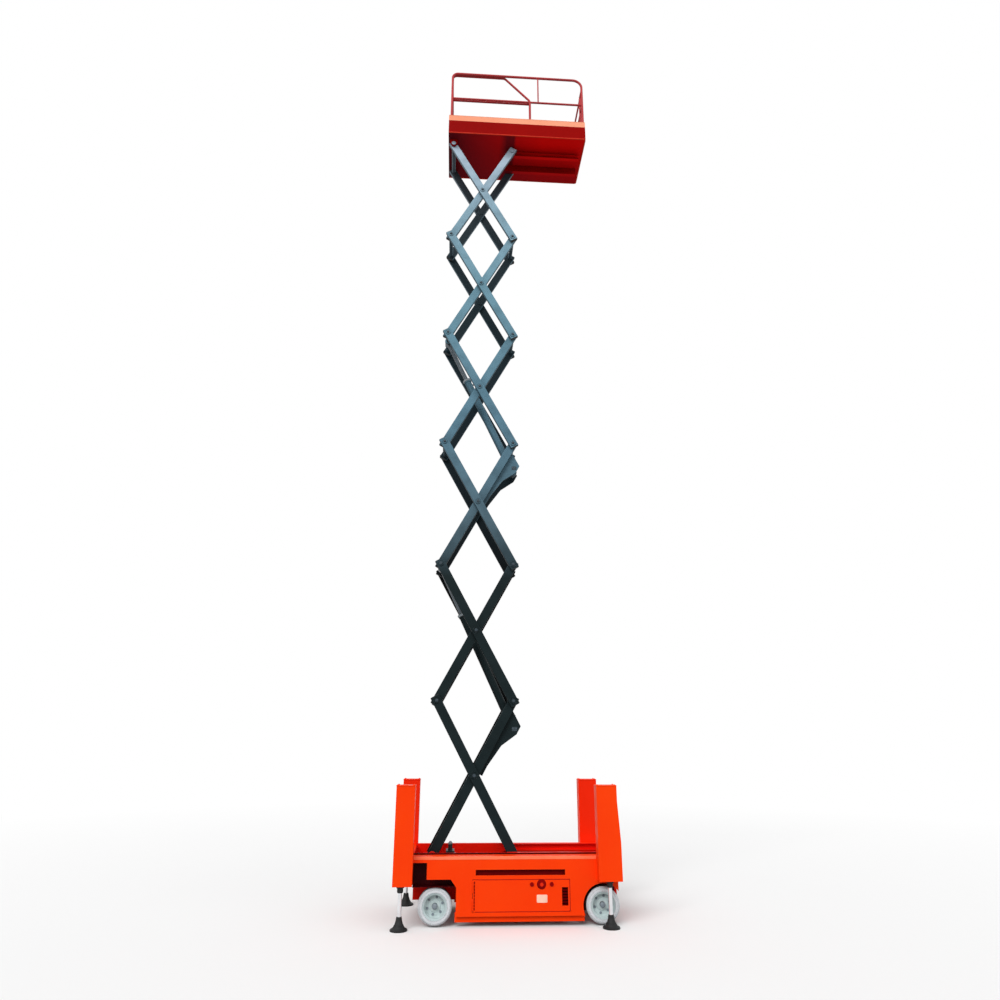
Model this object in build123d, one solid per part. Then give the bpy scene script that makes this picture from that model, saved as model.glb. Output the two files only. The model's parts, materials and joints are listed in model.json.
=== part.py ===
import math
import os

from build123d import *

# Scissor stack: pin-to-pin arm length, angle above level when raised and when folded, low left pin
stages = 6
arm_length = 1980.0
raised_angle = 61.3
folded_angle = 3.7
left_x = -860.0
base_z = 688.0

# Arm tubes: depth, width, wall, length past the end pins, and the two planes they lie in
arm_depth = 116.0
arm_width = 50.0
arm_wall = 5.0
arm_past = 54.0
arm_round = 8.0
arm_inside = 210.0
arm_gap = 8.0

# Pins: running radius, tube between the arms, caps, boss around each bore
pin_radius = 25.0
tube_radius = 30.0
cap_radius = 34.0
cap_thick = 7.0
roller_cap = 28.0
boss_radius = 38.0
pin_fit = 0.3
side_gap = 1.5
runner_gap = 0.4
lug_thick = 32.0
lug_half = 60.0
lug_round = 44.0

# Rollers and the tracks they run in
roller_radius = 32.0
roller_width = 34.0
roller_gap = 15.0
deck_roller_gap = 18.0
track_fit = 0.6
track_plate = 8.0
track_lead = 81.0
track_tail = 84.0

# Lift cylinders: base pin back from the arm's high end and below it; the rod pin is the left joint above
cylinder_back = 280.0
cylinder_below = 180.0
barrel_radius = 50.0
barrel_bore = 42.0
cylinder_rod = 30.0
rod_inside = 190.0
eye_radius = 46.0
eye_rim = 6.0
eye_half = 40.0
rod_eye_half = 46.0
bracket_gap = 10.0
bracket_thick = 14.0
bracket_back = 670.0
bracket_ahead = 180.0
bracket_foot = (45.0, 65.0)
bracket_knee = 250.0
bracket_knee_drop = 15.0
bracket_heel = 540.0
strap_back = 625.0
strap_ahead = 170.0
strap_under = (4.0, 32.0)

# Base: plates, floor heights, and its ends measured from the left pin and the roller tracks
skin = 5.0
plate = 10.0
wall_gap = 13.0
wheel_gap = 8.0
side_out = 20.0
floor_z = 130.0
front_floor_z = 440.0
top_over_pin = 24.0
bulkhead_from_pin = 330.0
front_wall_from_pin = 215.0
rear_room = 62.0
rear_wall_low = 250.0
step_low = (330.0, 500.0)
step_high = 70.0
step_half = 190.0
spine_y = 115.0
spine_half = 5.0
spine_low = 200.0
liner_z = 402.0

# Valve block on the front floor, pump and tank behind the bulkhead, battery pack
valve_from_pin = (160.0, 260.0)
valve_half = 110.0
valve_high = 330.0
unit_gap = 10.0
unit_length = 370.0
unit_half = 250.0
unit_high = 260.0
motor_radius = 60.0
battery_gap = 300.0
battery_to_axle = 184.0
battery_half = 340.0
battery_high = 280.0

# Front beam that carries the front legs, and its tie-down lugs
beam_length = 175.0
beam_low = 470.0
beam_high = 230.0
beam_wall = 8.0
tie_y = 300.0
tie_half = 8.0
tie_rise = 90.0
tie_round = 25.0
tie_bore = 10.0

# Wheels
wheel_radius = 190.5
wheel_width = 127.0
wheel_lift = 15.0
axle_from_pin = 52.0
axle_from_rear = 178.0
arch_room = 38.0
arch_reach = 233.0
arch_top = 480.0
pocket_top = 650.0
pocket_from_axle = 98.0
tyre_shoulder = 16.0
rim_radius = 124.0
spindle_radius = 30.0
spindle_end = 30.0
drive_radius = 60.0
drive_inside = 240.0

# Front axle and steering: beam, forks, kingpins, knuckles, arms and tie rod
axle_half = 40.0
axle_end = 108.0
fork_half = 24.0
fork_high = 64.0
post_half = 60.0
post_deep = 30.0
post_top = 330.0
kingpin_in = 32.0
kingpin_radius = 16.0
knuckle_radius = 32.0
knuckle_half = 38.0
knuckle_gap = 2.0
steer_arm = 110.0
arm_half = 14.0
steer_plate = 16.0
steer_eye = 20.0
ball_radius = 9.0
tie_rod_drop = 77.5
tie_rod_radius = 12.0

# Stabilizer legs: rods, housings, glands and feet
leg_out = 81.0
housing_width = 145.0
housing_top = 1465.0
housing_wall = 8.0
housing_floor = 20.0
front_housing_from_beam = (-27.0, 188.0)
front_housing_low = 433.0
front_leg_from_beam = 60.0
rear_housing_from_wall = (-242.0, 23.0)
rear_housing_low = 470.0
rear_leg_from_wall = 115.0
rear_lean = 28.0
rear_lean_z = (860.0, 1300.0)
gland_radius = 34.0
gland_drop = 58.0
leg_rod_radius = 22.0
leg_rod_top = 860.0
foot_height = 135.0
foot_outline = [(95, 0), (95, 14), (74, 24), (50, 56), (36, 96), (29, foot_height)]

# Tray doors in the side panels, their hinges, the slot above, the vent and the controls
door_from_arch = 183.0
door_to_arch = 144.0
door_over_floor = 20.0
door_height = 330.0
door_gap = 5.0
door_depth = 22.0
hinge_radius = 7.0
hinge_out = 3.0
hinge_room = 2.0
knuckle_long = 40.0
hinge_starts = (15.0, 195.0)
slot_inset = (35.0, 55.0)
slot_over_door = 39.0
slot_high = 57.0
vent_from_edge = (95.0, 25.0)
vent_inset = (61.0, 84.0)
control_from_edge = (435.0, 325.0, 210.0)
control_drop = 53.0
control_radius = 22.0
control_ring = 44.0
control_out = 10.0
control_push = 24.0

# Pothole guards
guard_from_arch = 10.0
guard_to_wheel = 23.0
guard_in = 45.0
guard_low = 80.0
guard_high = 100.0
guard_arm = 20.0
guard_share = (0.12, 0.6, 0.93)

# Platform: deck box above the top pins, toe boards, rails above the deck
deck_over_pin = 86.5
deck_deep = 125.0
fascia_high = 245.0
toe_board = 105.0
toe_thick = 6.0
deck_front = 88.0
deck_rear = 68.0
deck_y = 488.0
sheet = 8.0
runner_wall = 8.0
rail_height = 1145.0
mid_height = 613.0
rail_in = 30.0
rail_radius = 19.0
mid_radius = 16.0
strut_radius = 11.0
rail_front = 41.0
rail_rear = 28.0
bend_left = 90.0
bend_right = 150.0
rail_join = 948.0
strut_from_end = 136.0

# Entry gate and its posts
gate_half = 290.0
gate_drop = 200.0
gate_post = 24.0
gate_axis = 23.0
gate_radius = 15.0
gate_bar = 14.0
gate_over_deck = 60.0
gate_lug = 25.0
lug_high = 22.0

# Platform extension
ext_in = 58.0
ext_wall = 6.0
ext_lift = 14.0
ext_front = 10.0
ext_length = 1320.0
ext_tail = 30.0
ext_rail_gap = 6.0
ext_rail_radius = 17.0
ext_mid_radius = 15.0
ext_bend = 70.0
ext_brace = (905.0, 75.0)
ext_cross_drop = 95.0
glide_y = 320.0
glide_half = 20.0
socket_half = 20.0
socket_high = 40.0
toe_drop = 8.0

rise = arm_length * math.sin(math.radians(raised_angle))
right_x = left_x + arm_length * math.cos(math.radians(raised_angle))
top_z = base_z + stages * rise
cylinder_along = arm_length - cylinder_back

inner_y = (arm_inside, arm_inside + arm_width)
outer_y = (inner_y[1] + arm_gap, inner_y[1] + arm_gap + arm_width)
base_roller_y = (outer_y[1] + roller_gap, outer_y[1] + roller_gap + roller_width)
deck_roller_y = (arm_inside - deck_roller_gap - roller_width, arm_inside - deck_roller_gap)
bracket_y = (arm_inside - bracket_gap - bracket_thick, arm_inside - bracket_gap)
joint_pin_y = rod_eye_half + 2.0
track_start = right_x - track_lead
track_end = left_x + arm_length * math.cos(math.radians(folded_angle)) + track_tail

tub_y = (base_roller_y[1] + wall_gap, base_roller_y[1] + wall_gap + plate)
wheel_in = tub_y[1] + wheel_gap
wheel_out = wheel_in + wheel_width
side_y = wheel_out + side_out
base_top = base_z + top_over_pin
tub_front = left_x + bulkhead_from_pin
front_wall_x = left_x - front_wall_from_pin
rear_wall_x = track_end + rear_room
beam_front = front_wall_x - beam_length
beam_z = (beam_low, beam_low + beam_high)
tie_z = beam_low + tie_rise

wheel_z = wheel_radius + wheel_lift
front_axle_x = left_x + axle_from_pin
rear_axle_x = rear_wall_x - axle_from_rear
arch_x = front_axle_x + arch_reach
rear_arch = wheel_radius + arch_room
kingpin_y = tub_y[1] - kingpin_in
tie_rod_z = wheel_z - tie_rod_drop

leg_y = side_y + leg_out
housing_y = (side_y, side_y + housing_width)
leg_front_x = beam_front + front_leg_from_beam
leg_rear_x = rear_wall_x - rear_leg_from_wall

door_x = (arch_x + door_from_arch, rear_axle_x - rear_arch - door_to_arch)
door_z = (floor_z + door_over_floor, floor_z + door_over_floor + door_height)
slot_x = (door_x[0] + slot_inset[0], door_x[1] - slot_inset[1])
slot_z = (door_z[1] + slot_over_door, door_z[1] + slot_over_door + slot_high)
vent_x = (door_x[1] - vent_from_edge[0], door_x[1] - vent_from_edge[1])
vent_z = (door_z[0] + vent_inset[0], door_z[1] - vent_inset[1])
control_x = tuple(door_x[1] - inset for inset in control_from_edge)
control_z = door_z[1] - control_drop

guard_x = (arch_x - guard_from_arch, rear_axle_x - wheel_radius - guard_to_wheel)
guard_y = (side_y - guard_in, side_y - guard_in + plate)
guard_z = (floor_z - guard_low, floor_z - guard_low + guard_high)

deck_x = (left_x - deck_front, track_end + deck_rear)
deck_low = top_z + deck_over_pin
deck_floor = deck_low + deck_deep
toe_low = deck_low + fascia_high
toe_top = toe_low + toe_board
rail_top = deck_floor + rail_height
rail_mid = deck_floor + mid_height
rail_y = deck_y - rail_in
rail_left = deck_x[0] + rail_front
rail_right = deck_x[1] - rail_rear
ext_y = deck_y - ext_in
ext_floor = deck_floor + ext_lift
ext_x = (deck_x[0] + ext_front, deck_x[0] + ext_length + ext_tail)
ext_end = deck_x[0] + ext_length
ext_rail_y = rail_y - rail_radius - ext_rail_gap - ext_rail_radius
ext_rail_x = rail_left + runner_gap
ext_wall_top = toe_low - toe_drop


def block(x0, x1, y0, y1, z0, z1):
    centre = Pos((x0 + x1) / 2, (y0 + y1) / 2, (z0 + z1) / 2)
    return centre * Box(x1 - x0, y1 - y0, z1 - z0)


def bar_y(x, z, radius, y0, y1):
    return Pos(x, (y0 + y1) / 2, z) * Rot(90, 0, 0) * Cylinder(radius, y1 - y0)


def bar_z(x, y, radius, z0, z1):
    return Pos(x, y, (z0 + z1) / 2) * Cylinder(radius, z1 - z0)


def bar_x(y, z, radius, x0, x1):
    return Pos((x0 + x1) / 2, y, z) * Rot(0, 90, 0) * Cylinder(radius, x1 - x0)


def plate_xz(points, y0, y1):
    face = make_face(Polyline(*[(x, 0, z) for x, z in points], close=True))
    return Pos(0, y0, 0) * extrude(face, amount=y1 - y0, dir=(0, 1, 0))


def other_side(shape):
    return mirror(shape, about=Plane.XZ)


def both(shape):
    return [shape, other_side(shape)]


def save(name, *shapes):
    solids = [solid for shape in shapes for solid in shape.solids()]
    whole = solids[0] if len(solids) == 1 else Compound(children=solids)
    export_step(whole, f"parts/{name}.step")


def cylinder_line(angle):
    """Base pin, rod pin, and the length and direction between them, at one arm angle."""
    turn = math.radians(angle)
    cos, sin = math.cos(turn), math.sin(turn)
    base = (cylinder_along * cos + cylinder_below * sin, cylinder_along * sin - cylinder_below * cos)
    tip = (0.0, 2 * arm_length * sin)
    dx, dz = tip[0] - base[0], tip[1] - base[1]
    return base, tip, math.hypot(dx, dz), math.degrees(math.atan2(dz, dx))


def on_inner(shape, stage):
    return Pos(left_x, 0, base_z + stage * rise) * Rot(0, -raised_angle, 0) * shape


def on_outer(shape, stage):
    return Pos(right_x, 0, base_z + stage * rise) * Rot(0, raised_angle - 180, 0) * shape


def arm(y0, y1):
    middle = arm_length / 2
    length = arm_length + 2 * arm_past
    centre = Pos(middle, (y0 + y1) / 2, 0)
    tube = centre * Box(length, y1 - y0, arm_depth)
    tube = fillet(tube.edges().filter_by(Axis.X), arm_round)
    tube -= centre * Box(length + 2, y1 - y0 - 2 * arm_wall, arm_depth - 2 * arm_wall)
    for along in (0, middle, arm_length):
        tube += bar_y(along, 0, boss_radius, y0, y1)
    for along in (0, middle, arm_length):
        tube -= bar_y(along, 0, pin_radius + pin_fit, y0 - 1, y1 + 1)
    return tube


def cross_pin(x, z, core, reach, cap=cap_radius):
    pin = bar_y(x, z, tube_radius, -core, core) + bar_y(x, z, pin_radius, -reach, reach)
    pin += bar_y(x, z, cap, reach - 0.01, reach + cap_thick)
    pin += bar_y(x, z, cap, -reach - cap_thick, 0.01 - reach)
    return pin


def stub_pin(x, z, y0, y1, inside_cap=cap_radius):
    pin = bar_y(x, z, pin_radius, y0, y1)
    pin += bar_y(x, z, inside_cap, y0 - cap_thick, y0 + 0.01)
    pin += bar_y(x, z, cap_radius, y1 - 0.01, y1 + cap_thick)
    return pin


def split_pin(x, z, core, reach):
    pin = bar_y(x, z, eye_radius, joint_pin_y, joint_pin_y + lug_high)
    pin += bar_y(x, z, tube_radius, joint_pin_y, core) + bar_y(x, z, pin_radius, core - 1, reach)
    return pin + bar_y(x, z, cap_radius, reach - 0.01, reach + cap_thick)


def inner_frame(stage):
    low_z = base_z + stage * rise
    centre_x = (left_x + right_x) / 2
    bars = [on_inner(bar, stage) for bar in both(arm(*inner_y))]
    core = inner_y[0] - side_gap
    past_outer = outer_y[1] + side_gap
    low_reach = past_outer if stage else outer_y[0] + lug_thick + side_gap
    if stage in (2, 4):
        low = both(split_pin(left_x, low_z, core, low_reach))
    else:
        low = [cross_pin(left_x, low_z, core, low_reach)]
    if stage < stages - 1:
        high = [cross_pin(right_x, low_z + rise, core, past_outer)]
    else:
        pin_y = (deck_roller_y[0] - side_gap, inner_y[1] + side_gap)
        high = both(stub_pin(right_x, top_z, *pin_y, roller_cap))
    centre = both(stub_pin(centre_x, low_z + rise / 2, core, past_outer))
    return bars + low + high + centre


def outer_frame(stage):
    bars = [on_outer(bar, stage) for bar in both(arm(*outer_y))]
    core = outer_y[0] - side_gap
    if stage == 0:
        bars.append(cross_pin(right_x, base_z, core, base_roller_y[1] + side_gap, roller_cap))
    if stage == stages - 1:
        bars.append(cross_pin(left_x, top_z, core, outer_y[1] + lug_thick + side_gap))
    return bars


def roller(x, z, y0, y1):
    wheel = bar_y(x, z, roller_radius, y0, y1)
    return wheel - bar_y(x, z, pin_radius + pin_fit, y0 - 1, y1 + 1)


def lift_bracket():
    """Two cheeks inside one pair of arms with the cylinder's base pin between them, along the arm's axis."""
    along, low = cylinder_along, -cylinder_below - eye_radius - eye_rim
    top = -arm_depth / 8
    outline = [
        (along - bracket_back, top),
        (along + bracket_ahead, top),
        (along + bracket_ahead, -arm_depth / 2),
        (along + bracket_foot[1], low),
        (along - bracket_foot[0], low),
        (along - bracket_knee, low / 2 - bracket_knee_drop),
        (along - bracket_heel, -arm_depth * 0.8),
        (along - bracket_back, -arm_depth * 0.8),
    ]
    cheek = plate_xz(outline, *bracket_y)
    strap_z = (top - strap_under[1], top - strap_under[0])
    cheek += block(along - strap_back, along + strap_ahead, bracket_y[1] - 0.01, inner_y[0], *strap_z)
    cheek += bar_y(along, -cylinder_below, eye_radius, bracket_y[0] - bracket_thick, bracket_y[0] + 1)
    whole = cheek + other_side(cheek)
    whole += bar_y(along, -cylinder_below, pin_radius, -bracket_y[1], bracket_y[1])
    return whole


def cylinder_parts():
    """Barrel and rod along +X from the base pin, drawn at the raised length."""
    length = cylinder_line(raised_angle)[2]
    mouth = cylinder_line(folded_angle)[2] - 130
    barrel = bar_y(0, 0, eye_radius + eye_rim, -eye_half, eye_half)
    barrel += bar_x(0, 0, barrel_radius, 20, mouth)
    barrel += bar_x(0, 0, barrel_radius + eye_rim, mouth - 50, mouth)
    barrel -= bar_y(0, 0, pin_radius + pin_fit, -eye_half - 60, eye_half + 60)
    barrel -= bar_x(0, 0, barrel_bore, 80, mouth - 45)
    barrel -= bar_x(0, 0, cylinder_rod + pin_fit, mouth - 60, mouth + 1)
    rod = bar_x(0, 0, cylinder_rod, mouth - rod_inside, length - 20)
    rod += bar_x(0, 0, barrel_bore - pin_fit, mouth - rod_inside, mouth - rod_inside + 40)
    rod += bar_y(length, 0, eye_radius, -rod_eye_half, rod_eye_half)
    return barrel, rod


def place_cylinder(shape, stage):
    base, _, _, angle = cylinder_line(raised_angle)
    low_z = base_z + stage * rise
    return Pos(left_x + base[0], 0, low_z + base[1]) * Rot(0, -angle, 0) * shape


def wheel_parts(x, side):
    tyre_half = wheel_width / 2
    shoulder = tyre_shoulder
    outline = [
        (rim_radius + 0.2, -tyre_half + 6),
        (rim_radius + 14, -tyre_half),
        (wheel_radius - shoulder, -tyre_half),
        (wheel_radius, -tyre_half + shoulder),
        (wheel_radius, tyre_half - shoulder),
        (wheel_radius - shoulder, tyre_half),
        (rim_radius + 14, tyre_half),
        (rim_radius + 0.2, tyre_half - 6),
    ]
    dish = [
        (spindle_radius + pin_fit, 2),
        (58, 2),
        (72, -8),
        (104, -8),
        (rim_radius - 6, 20),
        (rim_radius - 6, tyre_half - 8),
        (rim_radius, tyre_half - 8),
        (rim_radius, -tyre_half + 8),
        (rim_radius - 6, -tyre_half + 8),
        (rim_radius - 6, -4),
        (108, -18),
        (spindle_radius + pin_fit, -18),
    ]
    spin = []
    for points in (outline, dish):
        face = make_face(Polyline(*[(r, 0, h) for r, h in points], close=True))
        spin.append(revolve(face, Axis.Z))
    turn = 90 if side < 0 else -90
    centre = Pos(x, side * (wheel_out - tyre_half), wheel_z) * Rot(turn, 0, 0)
    return [centre * shape for shape in spin]


def tub():
    whole = block(tub_front, rear_wall_x, -tub_y[1], tub_y[1], floor_z, floor_z + plate)
    ledge = roller_radius + track_fit
    wall_top = base_z + ledge + track_plate
    wall = block(tub_front, rear_wall_x, *tub_y, floor_z, wall_top)
    wall += block(front_wall_x, tub_front + 1, *tub_y, liner_z, wall_top)
    wall += block(front_wall_x + plate, arch_x, tub_y[0], side_y - skin, liner_z, liner_z + skin)
    wall -= bar_y(rear_axle_x, wheel_z, spindle_radius * 1.5, tub_y[0] - 1, tub_y[1] + 1)
    track_y = base_roller_y[0] - side_gap
    for low in (base_z - ledge - track_plate, base_z + ledge):
        wall += block(track_start, track_end, track_y, tub_y[0] + 1, low, low + track_plate)
    lug_y = (outer_y[0], outer_y[0] + lug_thick)
    lug = block(left_x - lug_half, left_x + lug_half, *lug_y, front_floor_z, base_z)
    lug += bar_y(left_x, base_z, lug_round, *lug_y)
    lug -= bar_y(left_x, base_z, pin_radius + pin_fit, lug_y[0] - 1, lug_y[1] + 1)
    low_y, high_y = spine_y - spine_half, spine_y + spine_half
    spine = block(front_wall_x, tub_front + 1, low_y, high_y, spine_low, front_floor_z + 1)
    for shape in (wall, lug, spine):
        whole += shape
        whole += other_side(shape)
    shelf_top = front_floor_z + plate
    whole += block(front_wall_x, tub_front + plate, -tub_y[1], tub_y[1], front_floor_z, shelf_top)
    whole += block(tub_front, tub_front + plate, -tub_y[1], tub_y[1], floor_z, shelf_top)
    whole += block(front_wall_x, front_wall_x + plate, -side_y, side_y, front_floor_z, base_top)
    rear = block(rear_wall_x, rear_wall_x + plate, -tub_y[1], tub_y[1], rear_wall_low, base_top)
    rear += block(rear_wall_x, rear_wall_x + plate, -side_y, side_y, wheel_z + rear_arch + plate, base_top)
    for low in step_low:
        rear -= block(rear_wall_x - 5, rear_wall_x + plate + 5, -step_half, step_half, low, low + step_high)
    return whole + rear


def front_beam():
    beam = block(beam_front, front_wall_x, -side_y, side_y, *beam_z)
    hollow = (beam_front + beam_wall, front_wall_x - beam_wall)
    beam -= block(*hollow, -side_y - 1, side_y + 1, beam_z[0] + beam_wall, beam_z[1] - beam_wall)
    tie = (tie_y - tie_half, tie_y + tie_half)
    lug = block(beam_front - 14, beam_front + 1, *tie, tie_z - 30, tie_z + 30)
    lug += bar_y(beam_front - 10, tie_z, tie_round, *tie)
    lug -= block(beam_front + 1, beam_front + 60, tie[0] - 1, tie[1] + 1, tie_z - 60, tie_z + 60)
    lug -= bar_y(beam_front - 15, tie_z, tie_bore, tie[0] - 1, tie[1] + 1)
    return beam + lug + other_side(lug)


def hinge_spans():
    """Heights of the hinge knuckles: those of the door and those of the panel."""
    door, panel = [], []
    for start in hinge_starts:
        low = door_z[0] + start
        door += [(low, low + knuckle_long), (low + 2 * knuckle_long, low + 3 * knuckle_long)]
        panel.append((low + knuckle_long, low + 2 * knuckle_long))
    return door, panel


def side_panel():
    front = front_wall_x + plate
    pocket = front_axle_x - pocket_from_axle
    low = floor_z - guard_arm
    outline = [
        (front, base_top),
        (rear_wall_x, base_top),
        (rear_wall_x, low),
        (arch_x, low),
        (arch_x, arch_top - 80),
        (arch_x - 60, arch_top),
        (pocket, arch_top),
        (pocket, pocket_top),
        (front, pocket_top),
    ]
    panel = plate_xz(outline, side_y - skin, side_y)
    panel -= bar_y(rear_axle_x, wheel_z, rear_arch, side_y - skin - 1, side_y + 1)
    panel += block(front, rear_wall_x, tub_y[1], side_y, base_top - skin - 1, base_top)
    panel -= block(*door_x, side_y - 50, side_y + 5, *door_z)
    panel -= block(*slot_x, side_y - 50, side_y + 5, *slot_z)
    hinge_x, hinge_y = door_x[0], side_y + hinge_out
    of_door, of_panel = hinge_spans()
    for span in of_door:
        panel -= bar_z(hinge_x, hinge_y, hinge_radius + hinge_room, *span)
    for span in of_panel:
        panel += bar_z(hinge_x, hinge_y, hinge_radius, *span)
    return panel


def tray_door():
    x0, x1 = door_x[0] + door_gap, door_x[1] - door_gap
    z0, z1 = door_z[0] + door_gap, door_z[1] - door_gap
    door = block(x0, x1, side_y - door_depth, side_y, z0, z1)
    door -= block(x0 + 6, x1 - 6, side_y - door_depth - 1, side_y - skin, z0 + 6, z1 - 6)
    hinge_x, hinge_y = door_x[0], side_y + hinge_out
    of_door, of_panel = hinge_spans()
    for low, high in of_door:
        door += bar_z(hinge_x, hinge_y, hinge_radius, low + 0.5, high - 0.5)
        door += block(hinge_x, x0 + 1, side_y - 1, hinge_y + hinge_radius - 2, low + 0.5, high - 0.5)
    for low, high in of_panel:
        door -= bar_z(hinge_x, hinge_y, hinge_radius + hinge_room, low - 0.5, high + 0.5)
    return door


def vented(door):
    return door - block(*vent_x, side_y - skin - 1, side_y + 1, *vent_z)


def controls():
    face_y = -side_y - control_out
    knobs = [bar_y(x, control_z, control_radius, face_y, -side_y) for x in control_x]
    knobs[1] = bar_y(control_x[1], control_z, control_ring, face_y, -side_y)
    knobs[1] += bar_y(control_x[1], control_z, control_radius, -side_y - control_push, face_y)
    return knobs


def pothole_guard():
    guard = block(*guard_x, *guard_y, *guard_z)
    for share in guard_share:
        x = guard_x[0] + share * (guard_x[1] - guard_x[0])
        low = guard_z[1] - guard_arm
        guard += block(x - guard_arm, x + guard_arm, tub_y[1] + runner_gap, guard_y[0] + 1, low, guard_z[1])
    return guard


def hydraulic_unit():
    tank_x = tub_front + plate + unit_gap
    tank_top = floor_z + plate + unit_high
    tank = block(tank_x, tank_x + unit_length, -unit_half, unit_half, floor_z + plate, tank_top)
    tank += bar_x(0, tank_top + motor_radius, motor_radius, tank_x + 40, tank_x + unit_length - 50)
    tank += block(tank_x + 80, tank_x + unit_length - 90, -30, 30, tank_top - 1, tank_top + motor_radius)
    valve_low = front_floor_z + plate
    front, back = left_x + valve_from_pin[0], left_x + valve_from_pin[1]
    valve = block(front, back, -valve_half, valve_half, valve_low, valve_low + valve_high - 70)
    for share in (-0.55, 0.0, 0.55):
        top = valve_low + valve_high - 71
        valve += bar_z((front + back) / 2, share * valve_half, 26, top, top + 71)
    return tank, valve


def battery_pack():
    start = tub_front + plate + unit_gap + unit_length + battery_gap
    low = floor_z + plate
    return block(start, rear_axle_x - battery_to_axle, -battery_half, battery_half, low, low + battery_high)


def front_axle():
    x, half = front_axle_x, axle_half
    beam_end = kingpin_y - axle_end
    beam = block(x - half, x + half, -beam_end, beam_end, wheel_z - half, wheel_z + half)
    clear = knuckle_half + knuckle_gap
    fork_end = kingpin_y + fork_half
    fork_x = (x - fork_half, x + fork_half)
    for low, high in ((clear, fork_high), (-fork_high, -clear)):
        prong = block(*fork_x, beam_end - half, fork_end, wheel_z + low, wheel_z + high)
        beam += prong + other_side(prong)
    fork_z = (wheel_z - fork_high, wheel_z + fork_high)
    web = block(*fork_x, beam_end - half, beam_end, *fork_z)
    web += bar_z(x, kingpin_y, kingpin_radius, *fork_z)
    for shape in both(web):
        beam += shape
    slot_half = spine_half + pin_fit
    for y in (-spine_y, spine_y):
        post_y, slot_y = (y - post_half, y + post_half), (y - slot_half, y + slot_half)
        beam += block(x - post_deep, x + post_deep, *post_y, wheel_z + half - 5, post_top)
        beam -= block(x - half - 1, x + half + 1, *slot_y, spine_low - 1, post_top + 1)
    return beam


def knuckle():
    x, y = front_axle_x, kingpin_y
    body = bar_z(x, y, knuckle_radius, wheel_z - knuckle_half, wheel_z + knuckle_half)
    body += bar_y(x, wheel_z, spindle_radius, y, wheel_out - wheel_width / 2 + spindle_end)
    arm_z = wheel_z - knuckle_half
    body += block(x, x + steer_arm, y - arm_half, y + arm_half, arm_z, arm_z + steer_plate)
    body += bar_z(x + steer_arm, y, steer_eye, arm_z, arm_z + steer_plate)
    body += bar_z(x + steer_arm, y, ball_radius, tie_rod_z - arm_half, arm_z + 1)
    return body - bar_z(x, y, kingpin_radius + pin_fit, wheel_z - fork_high, wheel_z + fork_high)


def tie_rod():
    x = front_axle_x + steer_arm
    rod = bar_y(x, tie_rod_z, tie_rod_radius, -kingpin_y, kingpin_y)
    for y in (-kingpin_y, kingpin_y):
        rod += bar_z(x, y, steer_eye, tie_rod_z - arm_half, tie_rod_z + arm_half)
    for y in (-kingpin_y, kingpin_y):
        rod -= bar_z(x, y, ball_radius + pin_fit, tie_rod_z - arm_half - 1, tie_rod_z + arm_half + 1)
    return rod


def rear_drive():
    drive = bar_y(rear_axle_x, wheel_z, drive_radius, drive_inside, tub_y[0])
    spindle_y = wheel_out - wheel_width / 2 + spindle_end
    return drive + bar_y(rear_axle_x, wheel_z, spindle_radius, tub_y[0] - drive_radius, spindle_y)


def leg_housing(front):
    if front:
        leg_x, low = leg_front_x, front_housing_low
        x0, x1 = (beam_front + step for step in front_housing_from_beam)
        outline = [(x0, low), (x1, low), (x1, housing_top), (x0, housing_top)]
        lean = 0.0
    else:
        leg_x, low = leg_rear_x, rear_housing_low
        x0, x1 = (rear_wall_x + step for step in rear_housing_from_wall)
        lean = rear_lean
        back = [(x1, low), (x1, rear_lean_z[0]), (x1 - lean, rear_lean_z[1]), (x1 - lean, housing_top)]
        outline = [(x0, low), *back, (x0, housing_top)]
    wall = housing_wall
    box = plate_xz(outline, *housing_y)
    inside_y = (housing_y[0] + wall, housing_y[1] - wall)
    box -= block(x0 + wall, x1 - wall - lean, *inside_y, low + housing_floor, housing_top - wall)
    return box - bar_z(leg_x, leg_y, leg_rod_radius + pin_fit, low - 1, low + housing_floor + 1)


def leg_gland(front):
    leg_x, low = (leg_front_x, front_housing_low) if front else (leg_rear_x, rear_housing_low)
    collar = bar_z(leg_x, leg_y, gland_radius, low - gland_drop, low)
    collar += bar_z(leg_x, leg_y, gland_radius + 10, low - 16, low)
    return collar - bar_z(leg_x, leg_y, leg_rod_radius + pin_fit, low - gland_drop - 1, low + 1)


def foot(x):
    points = [(0, 0), *foot_outline, (0, foot_height)]
    face = make_face(Polyline(*[(r, 0, z) for r, z in points], close=True))
    return Pos(x, leg_y, 0) * revolve(face, Axis.Z)


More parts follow.
